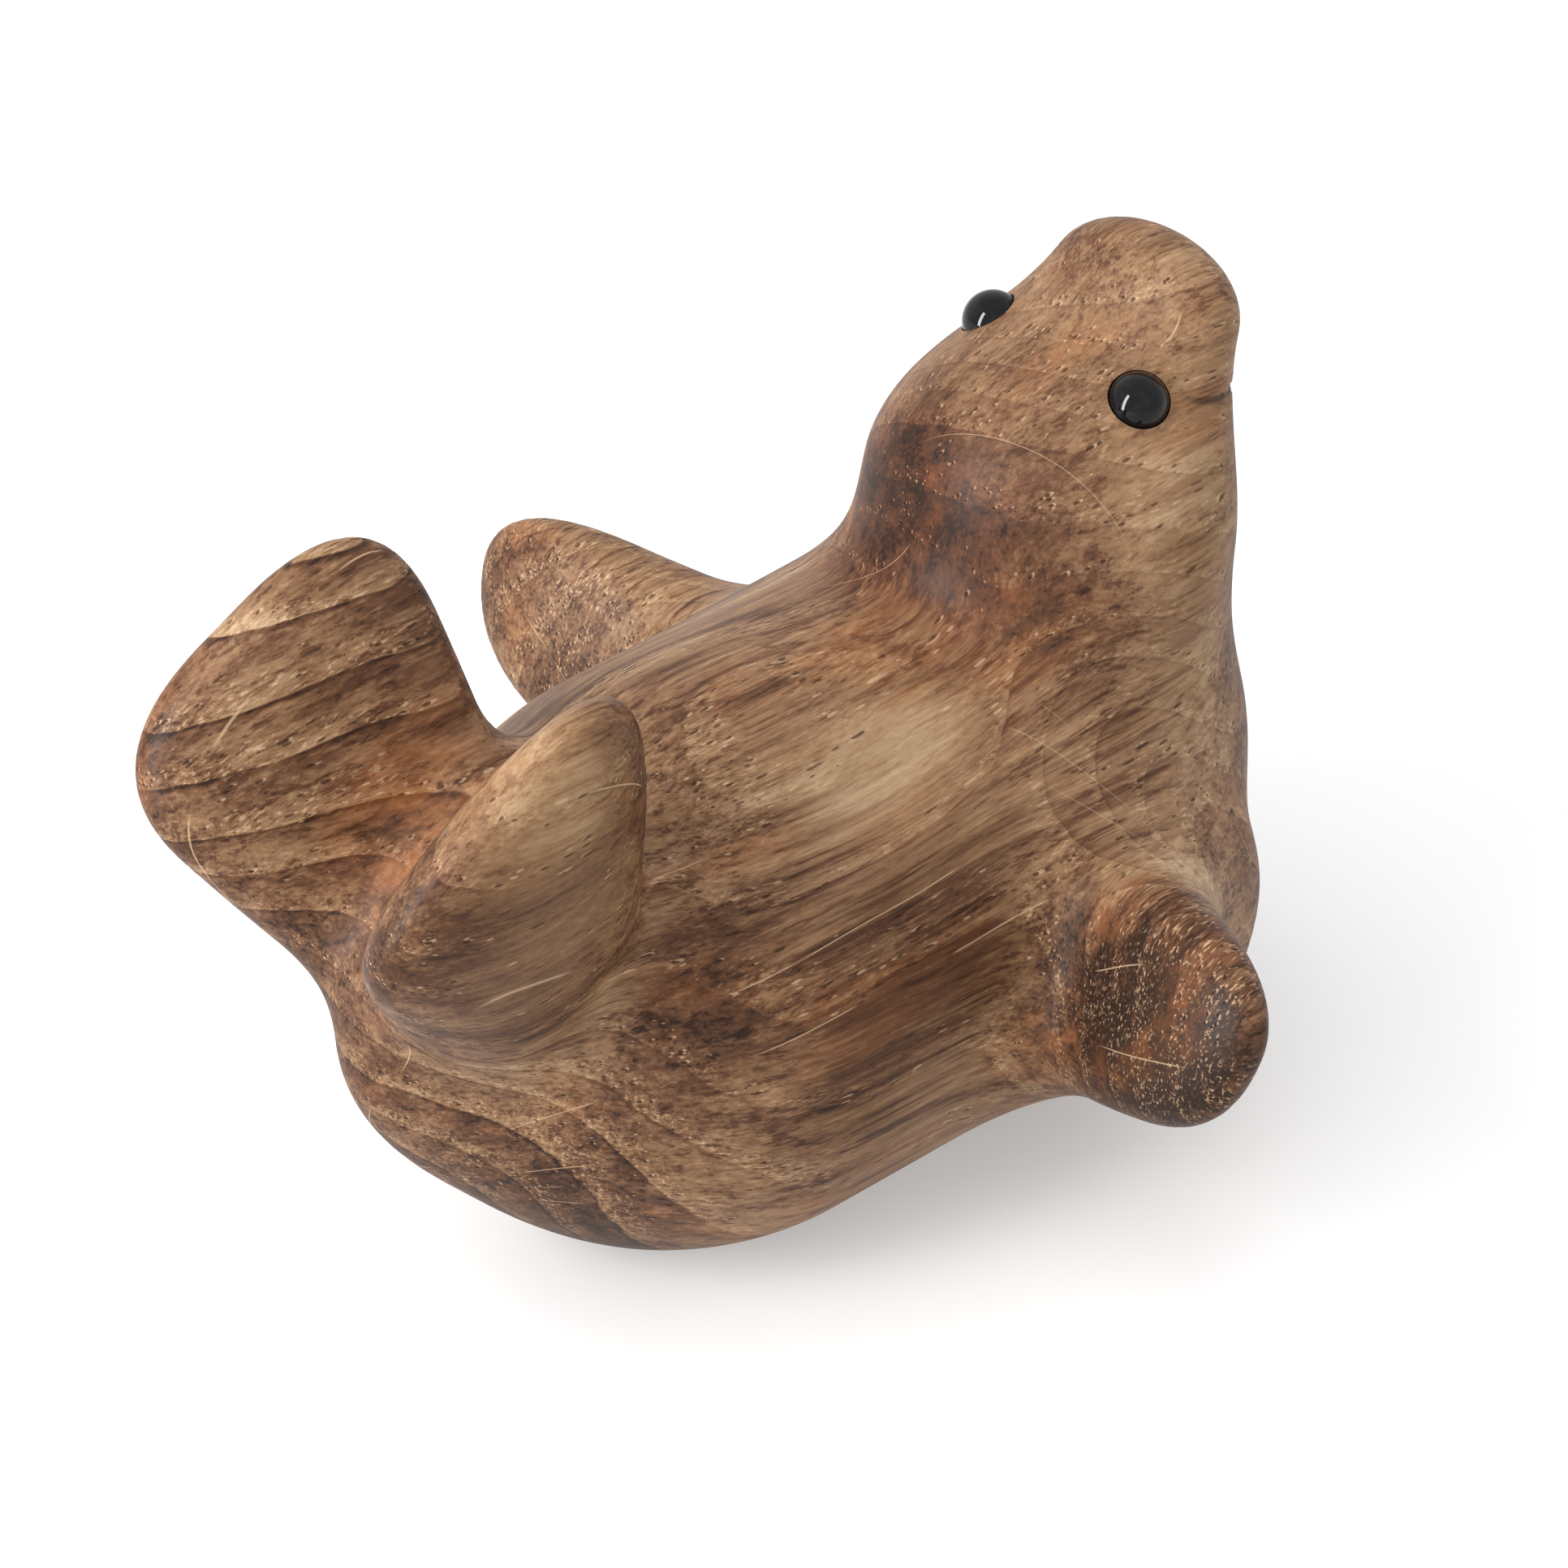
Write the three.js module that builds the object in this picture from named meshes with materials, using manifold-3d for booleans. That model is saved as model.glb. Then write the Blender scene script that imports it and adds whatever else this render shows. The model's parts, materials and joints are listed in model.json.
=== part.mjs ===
import * as THREE from 'three';
import { mergeVertices } from 'three/addons/utils/BufferGeometryUtils.js';
import Module from 'manifold-3d';

// A seal pup carved from one block of oak, with two glass bead eyes set on steel pins.
// Millimetres. X points to the nose, Y to the seal's left, Z up.

// Trunk: a barrel from the rump to the chest, with shoulders under the head
const RUMP_X = -4.7;
const RUMP_RADIUS = 27.9;
const CHEST_X = 28.3;
const CHEST_RADIUS = 28.4;
const CHEST_LIFT = 0.8;
const SHOULDER_X = 38;
const SHOULDER_HEIGHT = 35.7;
const SHOULDER_RADIUS = 21.7;
const SHOULDER_BLEND = 3.8;

// Tail stock: a keel narrower than it is deep, rising behind the rump
const STOCK_X = -26.5;
const STOCK_HEIGHT = 36;
const STOCK_RADIUS = 19;
const STOCK_ROOT_RADIUS = 22.3;
const STOCK_ROOT_OFFSET = 4;
const STOCK_NARROWING = 1.86;
const STOCK_BLEND = 12;

// Head: an egg leaning back, with a broad muzzle pointing up and forward
const HEAD_X = 40.5;
const HEAD_HEIGHT = 58.3;
const HEAD_HALF_LENGTH = 14;
const HEAD_HALF_WIDTH = 16.8;
const HEAD_HALF_DEPTH = 18.8;
const HEAD_TILT = 44.3;
const HEAD_BLEND = 8.1;
const MUZZLE_X = 53.1;
const MUZZLE_HEIGHT = 78.1;
const MUZZLE_RADIUS = 6.2;
const MUZZLE_ROOT_RADIUS = 7.1;
const MUZZLE_NARROWING = 0.58;
const MUZZLE_BLEND = 14.5;

// Fore flippers: thick at the root, thin at the tip, swept back; sizes run along and across the blade
const FORE_X = 32.4;
const FORE_SIDE = 20.7;
const FORE_HEIGHT = 14.4;
const FORE_LENGTH = 37.9;
const FORE_ROOT_DEPTH = 6.5;
const FORE_SWEEP = -64;
const FORE_RISE = 18.8;
const FORE_PITCH = 72.1;
const FORE_ROOT_LEAD = 22.1;
const FORE_ROOT_TRAIL = -9.4;
const FORE_BULGE_STATION = 10.7;
const FORE_BULGE_LEAD = 23.8;
const FORE_BULGE_TRAIL = -6.3;
const FORE_TIP_LEAD = 27.5;
const FORE_TIP_TRAIL = 4.8;
const FORE_CORNER_ROUNDING = 9;
const FORE_CURL = 0.0176;
const FORE_ROOT_FRONT_THICKNESS = 9.4;
const FORE_ROOT_BACK_THICKNESS = 12.9;
const FORE_TIP_THICKNESS = 3.1;
const FORE_FACE_ROUNDING = 8;
const FORE_BLEND = 8;

// Hind flippers: two upright paddles spread in a V, flat inside and swollen outside
const HIND_X = -33.2;
const HIND_SIDE = 5.5;
const HIND_HEIGHT = 44.9;
const HIND_LENGTH = 34.1;
const HIND_ROOT_DEPTH = 9.5;
const HIND_LEAN_BACK = 28.1;
const HIND_SPREAD = 29.1;
const HIND_CHORD_TILT = 30.2;
const HIND_ROOT_CHORD = 19.4;
const HIND_TIP_CHORD = 43.6;
const HIND_TIP_SHIFT = -5.2;
const HIND_CORNER_ROUNDING = 14.8;
const HIND_INNER_THICKNESS = 5.2;
const HIND_ROOT_OUTER_THICKNESS = 12.6;
const HIND_TIP_OUTER_THICKNESS = 3.7;
const HIND_INNER_ROUNDING = 7.3;
const HIND_OUTER_ROUNDING = 13.6;
const HIND_BLEND = 4.5;

// Belly sanded flat so that the figure stands
const BELLY_SANDING = 1.4;

// Eyes: where each sits on the head, seen from the head's centre
const EYE_FORWARD_ANGLE = 5.5;
const EYE_SIDE_ANGLE = 31.7;
const EYE_RADIUS = 3;
const EYE_SINK = 0.9;
const PIN_RADIUS = 0.8;
const PIN_IN_WOOD = 6;
const PIN_IN_BEAD = 2;
const PIN_CHAMFER = 0.2;

// Room between pieces that touch
const GAP = 0.25;

// Mesh fineness, and the room left round the carving while it is sampled
const CELL = 2.8;
const SETTLING_STEPS = 6;
const EVENING_ROUNDS = 8;
const RESETTLING_STEPS = 2;
const SLOPE_REACH = 0.05;
const LEAST_SLOPE = 0.1;
const WELD_REACH = 1e-5;
const ROUND_SEGMENTS = 28;
const ARC_STEPS = 14;
const ROOM = 6;
const SEARCH_STEPS = 50;
const SAW_SIZE = 400;

const wasm = await Module();
wasm.setup();

const radians = THREE.MathUtils.degToRad;
const { lerp } = THREE.MathUtils;
const vector = (x, y, z) => new THREE.Vector3(x, y, z);

// Distance fields: negative inside the wood, positive outside

function blend(a, b, width) {
  const overlap = Math.max(width - Math.abs(a - b), 0) / width;
  return Math.min(a, b) - overlap * overlap * width * 0.25;
}

function shave(a, b, width) {
  return -blend(-a, -b, width);
}

function roundCone(p, a, b, radiusA, radiusB) {
  const axis = b.clone().sub(a);
  const fromA = p.clone().sub(a);
  const lengthSq = axis.lengthSq();
  const slope = radiusA - radiusB;
  const flankSq = lengthSq - slope * slope;
  const along = fromA.dot(axis);
  const beyond = along - lengthSq;
  const acrossSq = fromA.multiplyScalar(lengthSq).sub(axis.multiplyScalar(along)).lengthSq();
  const alongSq = along * along * lengthSq;
  const beyondSq = beyond * beyond * lengthSq;
  const limit = Math.sign(slope) * slope * slope * acrossSq;
  if (Math.sign(beyond) * flankSq * beyondSq > limit) {
    return Math.sqrt(acrossSq + beyondSq) / lengthSq - radiusB;
  }
  if (Math.sign(along) * flankSq * alongSq < limit) {
    return Math.sqrt(acrossSq + alongSq) / lengthSq - radiusA;
  }
  return (Math.sqrt(acrossSq * flankSq / lengthSq) + along * slope) / lengthSq - radiusA;
}

function ellipsoid(p, centre, halfSizes, tilt) {
  const q = p.clone().sub(centre);
  const cos = Math.cos(tilt);
  const sin = Math.sin(tilt);
  q.set(q.x * cos + q.z * sin, q.y, q.z * cos - q.x * sin);
  const near = q.divide(halfSizes).length();
  const steep = q.divide(halfSizes).length();
  return near * (near - 1) / steep;
}

function outlineDistance(u, v, corners, rounding) {
  let d = -Infinity;
  corners.forEach(([u0, v0], i) => {
    const [u1, v1] = corners[(i + 1) % corners.length];
    const beyond = ((u - u0) * (v1 - v0) - (v - v0) * (u1 - u0)) / Math.hypot(u1 - u0, v1 - v0);
    d = shave(d, beyond, rounding);
  });
  return d;
}

// Blades bend up along their span: u runs along the bent middle, v across it and w square to it

function bladeDistance(p, blade) {
  const local = p.clone().sub(blade.root);
  const along = local.dot(blade.span);
  const lift = local.dot(blade.normal) - blade.curl * along * along;
  const tilt = 2 * blade.curl * along;
  const u = along + tilt * lift / (1 + tilt * tilt);
  const v = local.dot(blade.chord);
  const w = lift / Math.hypot(1, tilt);
  let d = outlineDistance(u, v, blade.corners, blade.cornerRounding);
  for (const face of blade.faces) {
    d = shave(d, face.side * w - lerp(face.atRoot, face.atTip, u / blade.length), face.rounding);
  }
  return d;
}

function bladeAxes(span, chordHint) {
  const chord = chordHint.addScaledVector(span, -chordHint.dot(span)).normalize();
  return { span, chord, normal: span.clone().cross(chord) };
}

// The two blade shapes, described for the seal's left side

function foreBlade() {
  const sweep = radians(FORE_SWEEP);
  const rise = radians(FORE_RISE);
  const pitch = radians(FORE_PITCH);
  const level = Math.cos(sweep) * Math.cos(rise);
  const span = vector(Math.sin(sweep), level, Math.sin(rise)).normalize();
  return {
    ...bladeAxes(span, vector(Math.cos(pitch), 0, Math.sin(pitch))),
    root: vector(FORE_X, FORE_SIDE, FORE_HEIGHT),
    length: FORE_LENGTH,
    curl: FORE_CURL,
    cornerRounding: FORE_CORNER_ROUNDING,
    corners: [
      [-FORE_ROOT_DEPTH, FORE_ROOT_TRAIL],
      [FORE_BULGE_STATION, FORE_BULGE_TRAIL],
      [FORE_LENGTH, FORE_TIP_TRAIL],
      [FORE_LENGTH, FORE_TIP_LEAD],
      [FORE_BULGE_STATION, FORE_BULGE_LEAD],
      [-FORE_ROOT_DEPTH, FORE_ROOT_LEAD],
    ],
    faces: [
      { side: 1, atRoot: FORE_ROOT_FRONT_THICKNESS, atTip: FORE_TIP_THICKNESS, rounding: FORE_FACE_ROUNDING },
      { side: -1, atRoot: FORE_ROOT_BACK_THICKNESS, atTip: FORE_TIP_THICKNESS, rounding: FORE_FACE_ROUNDING },
    ],
  };
}

function hindBlade() {
  const back = radians(-HIND_LEAN_BACK);
  const out = radians(HIND_SPREAD);
  const tilt = radians(HIND_CHORD_TILT);
  const span = vector(Math.sin(back) * Math.cos(out), Math.sin(out), Math.cos(back) * Math.cos(out));
  const inner = HIND_INNER_THICKNESS;
  return {
    ...bladeAxes(span, vector(-Math.cos(tilt), 0, -Math.sin(tilt))),
    root: vector(HIND_X, HIND_SIDE, HIND_HEIGHT),
    length: HIND_LENGTH,
    curl: 0,
    cornerRounding: HIND_CORNER_ROUNDING,
    corners: [
      [-HIND_ROOT_DEPTH, -HIND_ROOT_CHORD / 2],
      [HIND_LENGTH, HIND_TIP_SHIFT - HIND_TIP_CHORD / 2],
      [HIND_LENGTH, HIND_TIP_SHIFT + HIND_TIP_CHORD / 2],
      [-HIND_ROOT_DEPTH, HIND_ROOT_CHORD / 2],
    ],
    faces: [
      {
        side: -1,
        atRoot: HIND_ROOT_OUTER_THICKNESS,
        atTip: HIND_TIP_OUTER_THICKNESS,
        rounding: HIND_OUTER_ROUNDING,
      },
      { side: 1, atRoot: inner, atTip: inner, rounding: HIND_INNER_ROUNDING },
    ],
  };
}

const FORE = foreBlade();
const HIND = hindBlade();

const RUMP = vector(RUMP_X, 0, RUMP_RADIUS);
const CHEST = vector(CHEST_X, 0, CHEST_RADIUS + CHEST_LIFT);
const SHOULDER = vector(SHOULDER_X, 0, SHOULDER_HEIGHT);
const STOCK_ROOT = vector(RUMP_X - STOCK_ROOT_OFFSET, 0, RUMP_RADIUS + STOCK_ROOT_OFFSET);
const STOCK = vector(STOCK_X, 0, STOCK_HEIGHT);
const HEAD = vector(HEAD_X, 0, HEAD_HEIGHT);
const HEAD_HALVES = vector(HEAD_HALF_LENGTH, HEAD_HALF_WIDTH, HEAD_HALF_DEPTH);
const MUZZLE = vector(MUZZLE_X, 0, MUZZLE_HEIGHT);

function trunkDistance(p) {
  return roundCone(p, RUMP, CHEST, RUMP_RADIUS, CHEST_RADIUS);
}

function stockDistance(p) {
  const squeezed = vector(p.x, p.y * STOCK_NARROWING, p.z);
  return roundCone(squeezed, STOCK_ROOT, STOCK, STOCK_ROOT_RADIUS, STOCK_RADIUS) / STOCK_NARROWING;
}

function headDistance(p) {
  const skull = ellipsoid(p, HEAD, HEAD_HALVES, radians(HEAD_TILT));
  const widened = vector(p.x, p.y * MUZZLE_NARROWING, p.z);
  const muzzle = roundCone(widened, HEAD, MUZZLE, MUZZLE_ROOT_RADIUS, MUZZLE_RADIUS);
  return blend(skull, muzzle, MUZZLE_BLEND);
}

function sealDistance(p) {
  const mirrored = vector(p.x, -p.y, p.z);
  let d = blend(trunkDistance(p), stockDistance(p), STOCK_BLEND);
  d = blend(d, p.distanceTo(SHOULDER) - SHOULDER_RADIUS, SHOULDER_BLEND);
  d = blend(d, headDistance(p), HEAD_BLEND);
  for (const side of [p, mirrored]) {
    d = blend(d, bladeDistance(side, FORE), FORE_BLEND);
    d = blend(d, bladeDistance(side, HIND), HIND_BLEND);
  }
  return d;
}

function slopeAt(p) {
  const g = vector(0, 0, 0);
  for (const axis of ['x', 'y', 'z']) {
    const ahead = p.clone();
    const behind = p.clone();
    ahead[axis] += SLOPE_REACH;
    behind[axis] -= SLOPE_REACH;
    g[axis] = (sealDistance(ahead) - sealDistance(behind)) / (2 * SLOPE_REACH);
  }
  return g;
}

// Skin of the carving: a point for each sheet of surface that crosses a cell, settled onto the
// zero surface. Corner n of a cell lies at x, y and z offsets that are the bits of n.

const CORNERS = [[0, 0, 0], [1, 0, 0], [0, 1, 0], [1, 1, 0], [0, 0, 1], [1, 0, 1], [0, 1, 1], [1, 1, 1]];
const EDGES = [0, 1, 2].flatMap((axis) => [0, 1, 2, 3, 4, 5, 6, 7]
  .filter((n) => !CORNERS[n][axis])
  .map((n) => [n, n + 2 ** axis]));

// Rings of four corners: the low and the high face across x, y and z
const RINGS = [[0, 2, 6, 4], [0, 4, 5, 1], [0, 1, 3, 2]];
const FACES = RINGS.flatMap((ring, axis) => [ring, ring.map((n) => n + 2 ** axis)]);

function bladeBounds(blade) {
  return blade.corners.flatMap(([u, v]) => blade.faces.map((face) => {
    const lift = blade.curl * u * u + face.side * lerp(face.atRoot, face.atTip, u / blade.length);
    const p = blade.root.clone().addScaledVector(blade.span, u).addScaledVector(blade.chord, v);
    return p.addScaledVector(blade.normal, lift);
  }));
}

function carvingBox() {
  const box = new THREE.Box3();
  const balls = [
    [RUMP, RUMP_RADIUS],
    [CHEST, CHEST_RADIUS],
    [SHOULDER, SHOULDER_RADIUS],
    [STOCK, STOCK_RADIUS],
    [HEAD, Math.max(HEAD_HALF_LENGTH, HEAD_HALF_WIDTH, HEAD_HALF_DEPTH)],
    [MUZZLE, MUZZLE_RADIUS / MUZZLE_NARROWING],
  ];
  for (const [centre, radius] of balls) {
    box.expandByPoint(centre.clone().addScalar(radius));
    box.expandByPoint(centre.clone().subScalar(radius));
  }
  for (const p of [...bladeBounds(FORE), ...bladeBounds(HIND)]) {
    box.expandByPoint(p);
    box.expandByPoint(vector(p.x, -p.y, p.z));
  }
  return box.expandByScalar(ROOM);
}

function sampleField() {
  const { min: low, max: high } = carvingBox();
  const count = high.clone().sub(low).divideScalar(CELL).ceil();
  low.y = -count.y * CELL / 2;
  const values = new Float64Array((count.x + 1) * (count.y + 1) * (count.z + 1));
  const index = (i, j, k) => (k * (count.y + 1) + j) * (count.x + 1) + i;
  const point = (i, j, k) => vector(i, j, k).multiplyScalar(CELL).add(low);
  for (let k = 0; k <= count.z; k += 1) {
    for (let j = 0; j <= count.y; j += 1) {
      for (let i = 0; i <= count.x; i += 1) values[index(i, j, k)] = sealDistance(point(i, j, k));
    }
  }
  return { count, values, index, point };
}

function settle(p, steps) {
  for (let n = 0; n < steps; n += 1) {
    const g = slopeAt(p);
    p.addScaledVector(g, -sealDistance(p) / Math.max(g.lengthSq(), LEAST_SLOPE));
  }
  return p;
}

// Crossed edges of a cell, gathered into sheets: round each face, an edge that leaves the wood
// and the next one that enters it belong to the same sheet

function cellSheets(inside) {
  const sheetOf = new Map();
  const name = (a, b) => `${Math.min(a, b)} ${Math.max(a, b)}`;
  for (const [a, b] of EDGES) {
    if (inside[a] !== inside[b]) sheetOf.set(name(a, b), [[a, b]]);
  }
  for (const face of FACES) {
    const corner = (n) => face[n % face.length];
    for (let n = 0; n < face.length; n += 1) {
      if (!inside[corner(n)] || inside[corner(n + 1)]) continue;
      let m = n + 1;
      while (!inside[corner(m + 1)]) m += 1;
      const leaving = sheetOf.get(name(corner(n), corner(n + 1)));
      const entering = sheetOf.get(name(corner(m), corner(m + 1)));
      if (leaving === entering) continue;
      leaving.push(...entering);
      for (const [a, b] of entering) sheetOf.set(name(a, b), leaving);
    }
  }
  return new Set(sheetOf.values());
}

function evenOut(points, triangles) {
  const linked = points.map(() => new Set());
  for (let n = 0; n < triangles.length; n += 3) {
    for (let m = 0; m < 3; m += 1) {
      linked[triangles[n + m]].add(triangles[n + (m + 1) % 3]);
      linked[triangles[n + (m + 1) % 3]].add(triangles[n + m]);
    }
  }
  for (let round = 0; round < EVENING_ROUNDS; round += 1) {
    const moved = points.map((p, n) => {
      const middle = vector(0, 0, 0);
      for (const other of linked[n]) middle.add(points[other]);
      return settle(p.clone().add(middle.divideScalar(linked[n].size)).divideScalar(2), RESETTLING_STEPS);
    });
    moved.forEach((p, n) => points[n].copy(p));
  }
}

function eachCell(count, start, visit) {
  for (let k = start; k < count.z; k += 1) {
    for (let j = start; j < count.y; j += 1) {
      for (let i = start; i < count.x; i += 1) visit(i, j, k);
    }
  }
}

function skinMesh() {
  const grid = sampleField();
  const points = [];
  const triangles = [];
  const numbers = new Map();
  eachCell(grid.count, 0, (i, j, k) => {
    const places = CORNERS.map(([dx, dy, dz]) => [i + dx, j + dy, k + dz]);
    const values = places.map((place) => grid.values[grid.index(...place)]);
    for (const sheet of cellSheets(values.map((value) => value < 0))) {
      const sum = vector(0, 0, 0);
      for (const [a, b] of sheet) {
        const t = values[a] / (values[a] - values[b]);
        sum.add(grid.point(...places[a]).lerp(grid.point(...places[b]), t));
        numbers.set(`${grid.index(i, j, k)} ${a} ${b}`, points.length);
      }
      points.push(settle(sum.divideScalar(sheet.length), SETTLING_STEPS));
    }
  });
  eachCell(grid.count, 1, (i, j, k) => {
    const here = grid.values[grid.index(i, j, k)] < 0;
    RINGS.forEach((cells, axis) => {
      const [dx, dy, dz] = CORNERS[2 ** axis];
      if (here === grid.values[grid.index(i + dx, j + dy, k + dz)] < 0) return;
      const ring = cells.map((n) => {
        const [x, y, z] = CORNERS[n];
        return numbers.get(`${grid.index(i - x, j - y, k - z)} ${n} ${n + 2 ** axis}`);
      });
      if (!here) ring.reverse();
      const [p, q, r, s] = ring.map((n) => points[n]);
      if (p.distanceToSquared(r) > q.distanceToSquared(s)) ring.push(ring.shift());
      triangles.push(ring[0], ring[1], ring[2], ring[0], ring[2], ring[3]);
    });
  });
  evenOut(points, triangles);
  return { points, triangles };
}

// Solids for cutting, and the way back to a geometry

function solidFromMesh(points, triangles) {
  const vertProperties = new Float32Array(points.flatMap((p) => [p.x, p.y, p.z]));
  const triVerts = new Uint32Array(triangles);
  return new wasm.Manifold(new wasm.Mesh({ numProp: 3, vertProperties, triVerts }));
}

function weld(geometry) {
  geometry.deleteAttribute('normal');
  geometry.deleteAttribute('uv');
  const welded = mergeVertices(geometry, WELD_REACH);
  const kept = [];
  const index = welded.index.array;
  for (let n = 0; n < index.length; n += 3) {
    const [a, b, c] = index.slice(n, n + 3);
    if (a !== b && b !== c && c !== a) kept.push(a, b, c);
  }
  welded.setIndex(kept);
  return welded;
}

function solidFromGeometry(geometry) {
  const { position } = geometry.attributes;
  const points = [];
  for (let n = 0; n < position.count; n += 1) points.push(vector().fromBufferAttribute(position, n));
  return solidFromMesh(points, [...geometry.index.array]);
}

function geometryFromSolid(solid) {
  const mesh = solid.getMesh();
  const position = [];
  for (let n = 0; n < mesh.numVert; n += 1) {
    const start = n * mesh.numProp;
    position.push(...mesh.vertProperties.slice(start, start + 3));
  }
  const geometry = new THREE.BufferGeometry();
  geometry.setAttribute('position', new THREE.Float32BufferAttribute(position, 3));
  geometry.setIndex([...mesh.triVerts]);
  return geometry;
}

// Turned solids stand on the Y axis; seat() turns that axis to the eye's and moves it there

function turned(profile) {
  const points = profile.map(([radius, height]) => new THREE.Vector2(radius, height));
  return weld(new THREE.LatheGeometry(points, ROUND_SEGMENTS));
}

function ballArc(radius, holeRadius) {
  const start = Math.asin(holeRadius / radius);
  const arc = [];
  for (let n = 0; n <= ARC_STEPS; n += 1) {
    const angle = start + (Math.PI - start) * n / ARC_STEPS;
    arc.push([n === ARC_STEPS ? 0 : radius * Math.sin(angle), -radius * Math.cos(angle)]);
  }
  return arc;
}

function socketGeometry() {
  const hole = PIN_RADIUS + GAP;
  const bottom = -EYE_RADIUS - PIN_IN_WOOD;
  return turned([[0, bottom], [hole, bottom], ...ballArc(EYE_RADIUS + GAP, hole)]);
}

function beadGeometry() {
  const hole = PIN_RADIUS + GAP;
  const roof = PIN_IN_BEAD - EYE_RADIUS;
  return turned([[0, roof], [hole, roof], ...ballArc(EYE_RADIUS, hole)]);
}

function pinGeometry() {
  const bottom = GAP - EYE_RADIUS - PIN_IN_WOOD;
  const top = PIN_IN_BEAD - EYE_RADIUS - GAP;
  const neck = PIN_RADIUS - PIN_CHAMFER;
  return turned([
    [0, bottom], [neck, bottom], [PIN_RADIUS, bottom + PIN_CHAMFER],
    [PIN_RADIUS, top - PIN_CHAMFER], [neck, top], [0, top],
  ]);
}

function eyeSeat(side) {
  const forward = radians(EYE_FORWARD_ANGLE);
  const out = radians(EYE_SIDE_ANGLE);
  const direction = vector(
    Math.sin(forward) * Math.cos(out), side * Math.sin(out), Math.cos(forward) * Math.cos(out),
  );
  let inside = 0;
  let outside = 2 * (HEAD_HALF_DEPTH + MUZZLE_RADIUS);
  for (let n = 0; n < SEARCH_STEPS; n += 1) {
    const middle = (inside + outside) / 2;
    if (sealDistance(HEAD.clone().addScaledVector(direction, middle)) < 0) inside = middle;
    else outside = middle;
  }
  const surface = HEAD.clone().addScaledVector(direction, inside);
  const normal = slopeAt(surface).normalize();
  const turn = new THREE.Quaternion().setFromUnitVectors(vector(0, 1, 0), normal);
  return new THREE.Matrix4().compose(
    surface.addScaledVector(normal, -EYE_SINK), turn, vector(1, 1, 1),
  );
}

function carvedBody(seats) {
  const skin = skinMesh();
  let body = solidFromMesh(skin.points, skin.triangles);
  const saw = new THREE.BoxGeometry(SAW_SIZE, SAW_SIZE, SAW_SIZE);
  saw.translate(0, 0, BELLY_SANDING - SAW_SIZE / 2);
  body = body.subtract(solidFromGeometry(weld(saw)));
  for (const seat of seats) {
    body = body.subtract(solidFromGeometry(socketGeometry().applyMatrix4(seat)));
  }
  return geometryFromSolid(body);
}

function mesh(name, geometry, look) {
  geometry.computeVertexNormals();
  const made = new THREE.Mesh(geometry, new THREE.MeshStandardMaterial(look));
  made.name = name;
  made.material.name = look.name;
  return made;
}

const OAK = { name: 'oiled_oak', color: 0x9a7650, roughness: 0.55, metalness: 0 };
const GLASS = { name: 'black_glass', color: 0x0a0b0d, roughness: 0.06, metalness: 0 };
const STEEL = { name: 'steel_wire', color: 0xa8aaad, roughness: 0.35, metalness: 1 };

function buildSeal() {
  const sides = [['left', 1], ['right', -1]];
  const seats = sides.map(([, side]) => eyeSeat(side));
  const body = carvedBody(seats);
  body.computeBoundingBox();
  const { min, max } = body.boundingBox;
  const seal = new THREE.Group();
  seal.name = 'wooden_seal';
  seal.position.set(-(min.x + max.x) / 2, -(min.y + max.y) / 2, -min.z);
  seal.add(mesh('carved_body', body, OAK));
  sides.forEach(([word], n) => {
    seal.add(mesh(`${word}_eye_bead`, beadGeometry().applyMatrix4(seats[n]), GLASS));
    seal.add(mesh(`${word}_eye_pin`, pinGeometry().applyMatrix4(seats[n]), STEEL));
  });
  return seal;
}

export default buildSeal();
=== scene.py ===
"""A seal pup carved from smoked oak, with black glass bead eyes, on a pale studio floor.

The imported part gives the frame, the eye beads and their pins. This script carves the same body
again with a fine surface, cuts the eye sockets and the mouth into it, and gives every piece its finish.
"""

import json
import logging
import math
from dataclasses import dataclass, field
from enum import Enum
from typing import Mapping, Sequence, Union

import bpy
import numpy as np
from mathutils import Color, Matrix, Vector

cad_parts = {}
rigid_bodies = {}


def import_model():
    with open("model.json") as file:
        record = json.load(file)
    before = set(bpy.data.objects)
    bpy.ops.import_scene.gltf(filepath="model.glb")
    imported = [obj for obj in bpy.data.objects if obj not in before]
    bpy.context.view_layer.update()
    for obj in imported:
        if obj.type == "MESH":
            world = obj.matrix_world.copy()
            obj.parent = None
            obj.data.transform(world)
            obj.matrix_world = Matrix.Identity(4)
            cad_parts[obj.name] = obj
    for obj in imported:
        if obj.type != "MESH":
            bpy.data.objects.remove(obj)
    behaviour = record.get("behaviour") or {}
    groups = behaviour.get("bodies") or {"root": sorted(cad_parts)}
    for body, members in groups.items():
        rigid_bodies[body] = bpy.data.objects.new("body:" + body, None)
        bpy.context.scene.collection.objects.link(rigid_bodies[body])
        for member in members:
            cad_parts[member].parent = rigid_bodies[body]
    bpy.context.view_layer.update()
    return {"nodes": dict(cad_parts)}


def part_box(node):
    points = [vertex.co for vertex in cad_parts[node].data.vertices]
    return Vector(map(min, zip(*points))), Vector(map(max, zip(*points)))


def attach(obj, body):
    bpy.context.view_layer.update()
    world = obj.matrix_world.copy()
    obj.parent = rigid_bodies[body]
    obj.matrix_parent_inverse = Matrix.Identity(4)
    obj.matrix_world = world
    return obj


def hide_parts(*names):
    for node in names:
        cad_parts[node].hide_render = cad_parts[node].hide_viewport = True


LOG = logging.getLogger("seal")
MM = 0.001
TINY = 1e-9

# Share of a fillet's width by which it stands off the crease
FILLET_SHARE = 0.25

# Where a patch of the wood fades out and is at its full strength, as shares of its radius
PATCH_EDGE = (1.25, 0.35)

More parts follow.
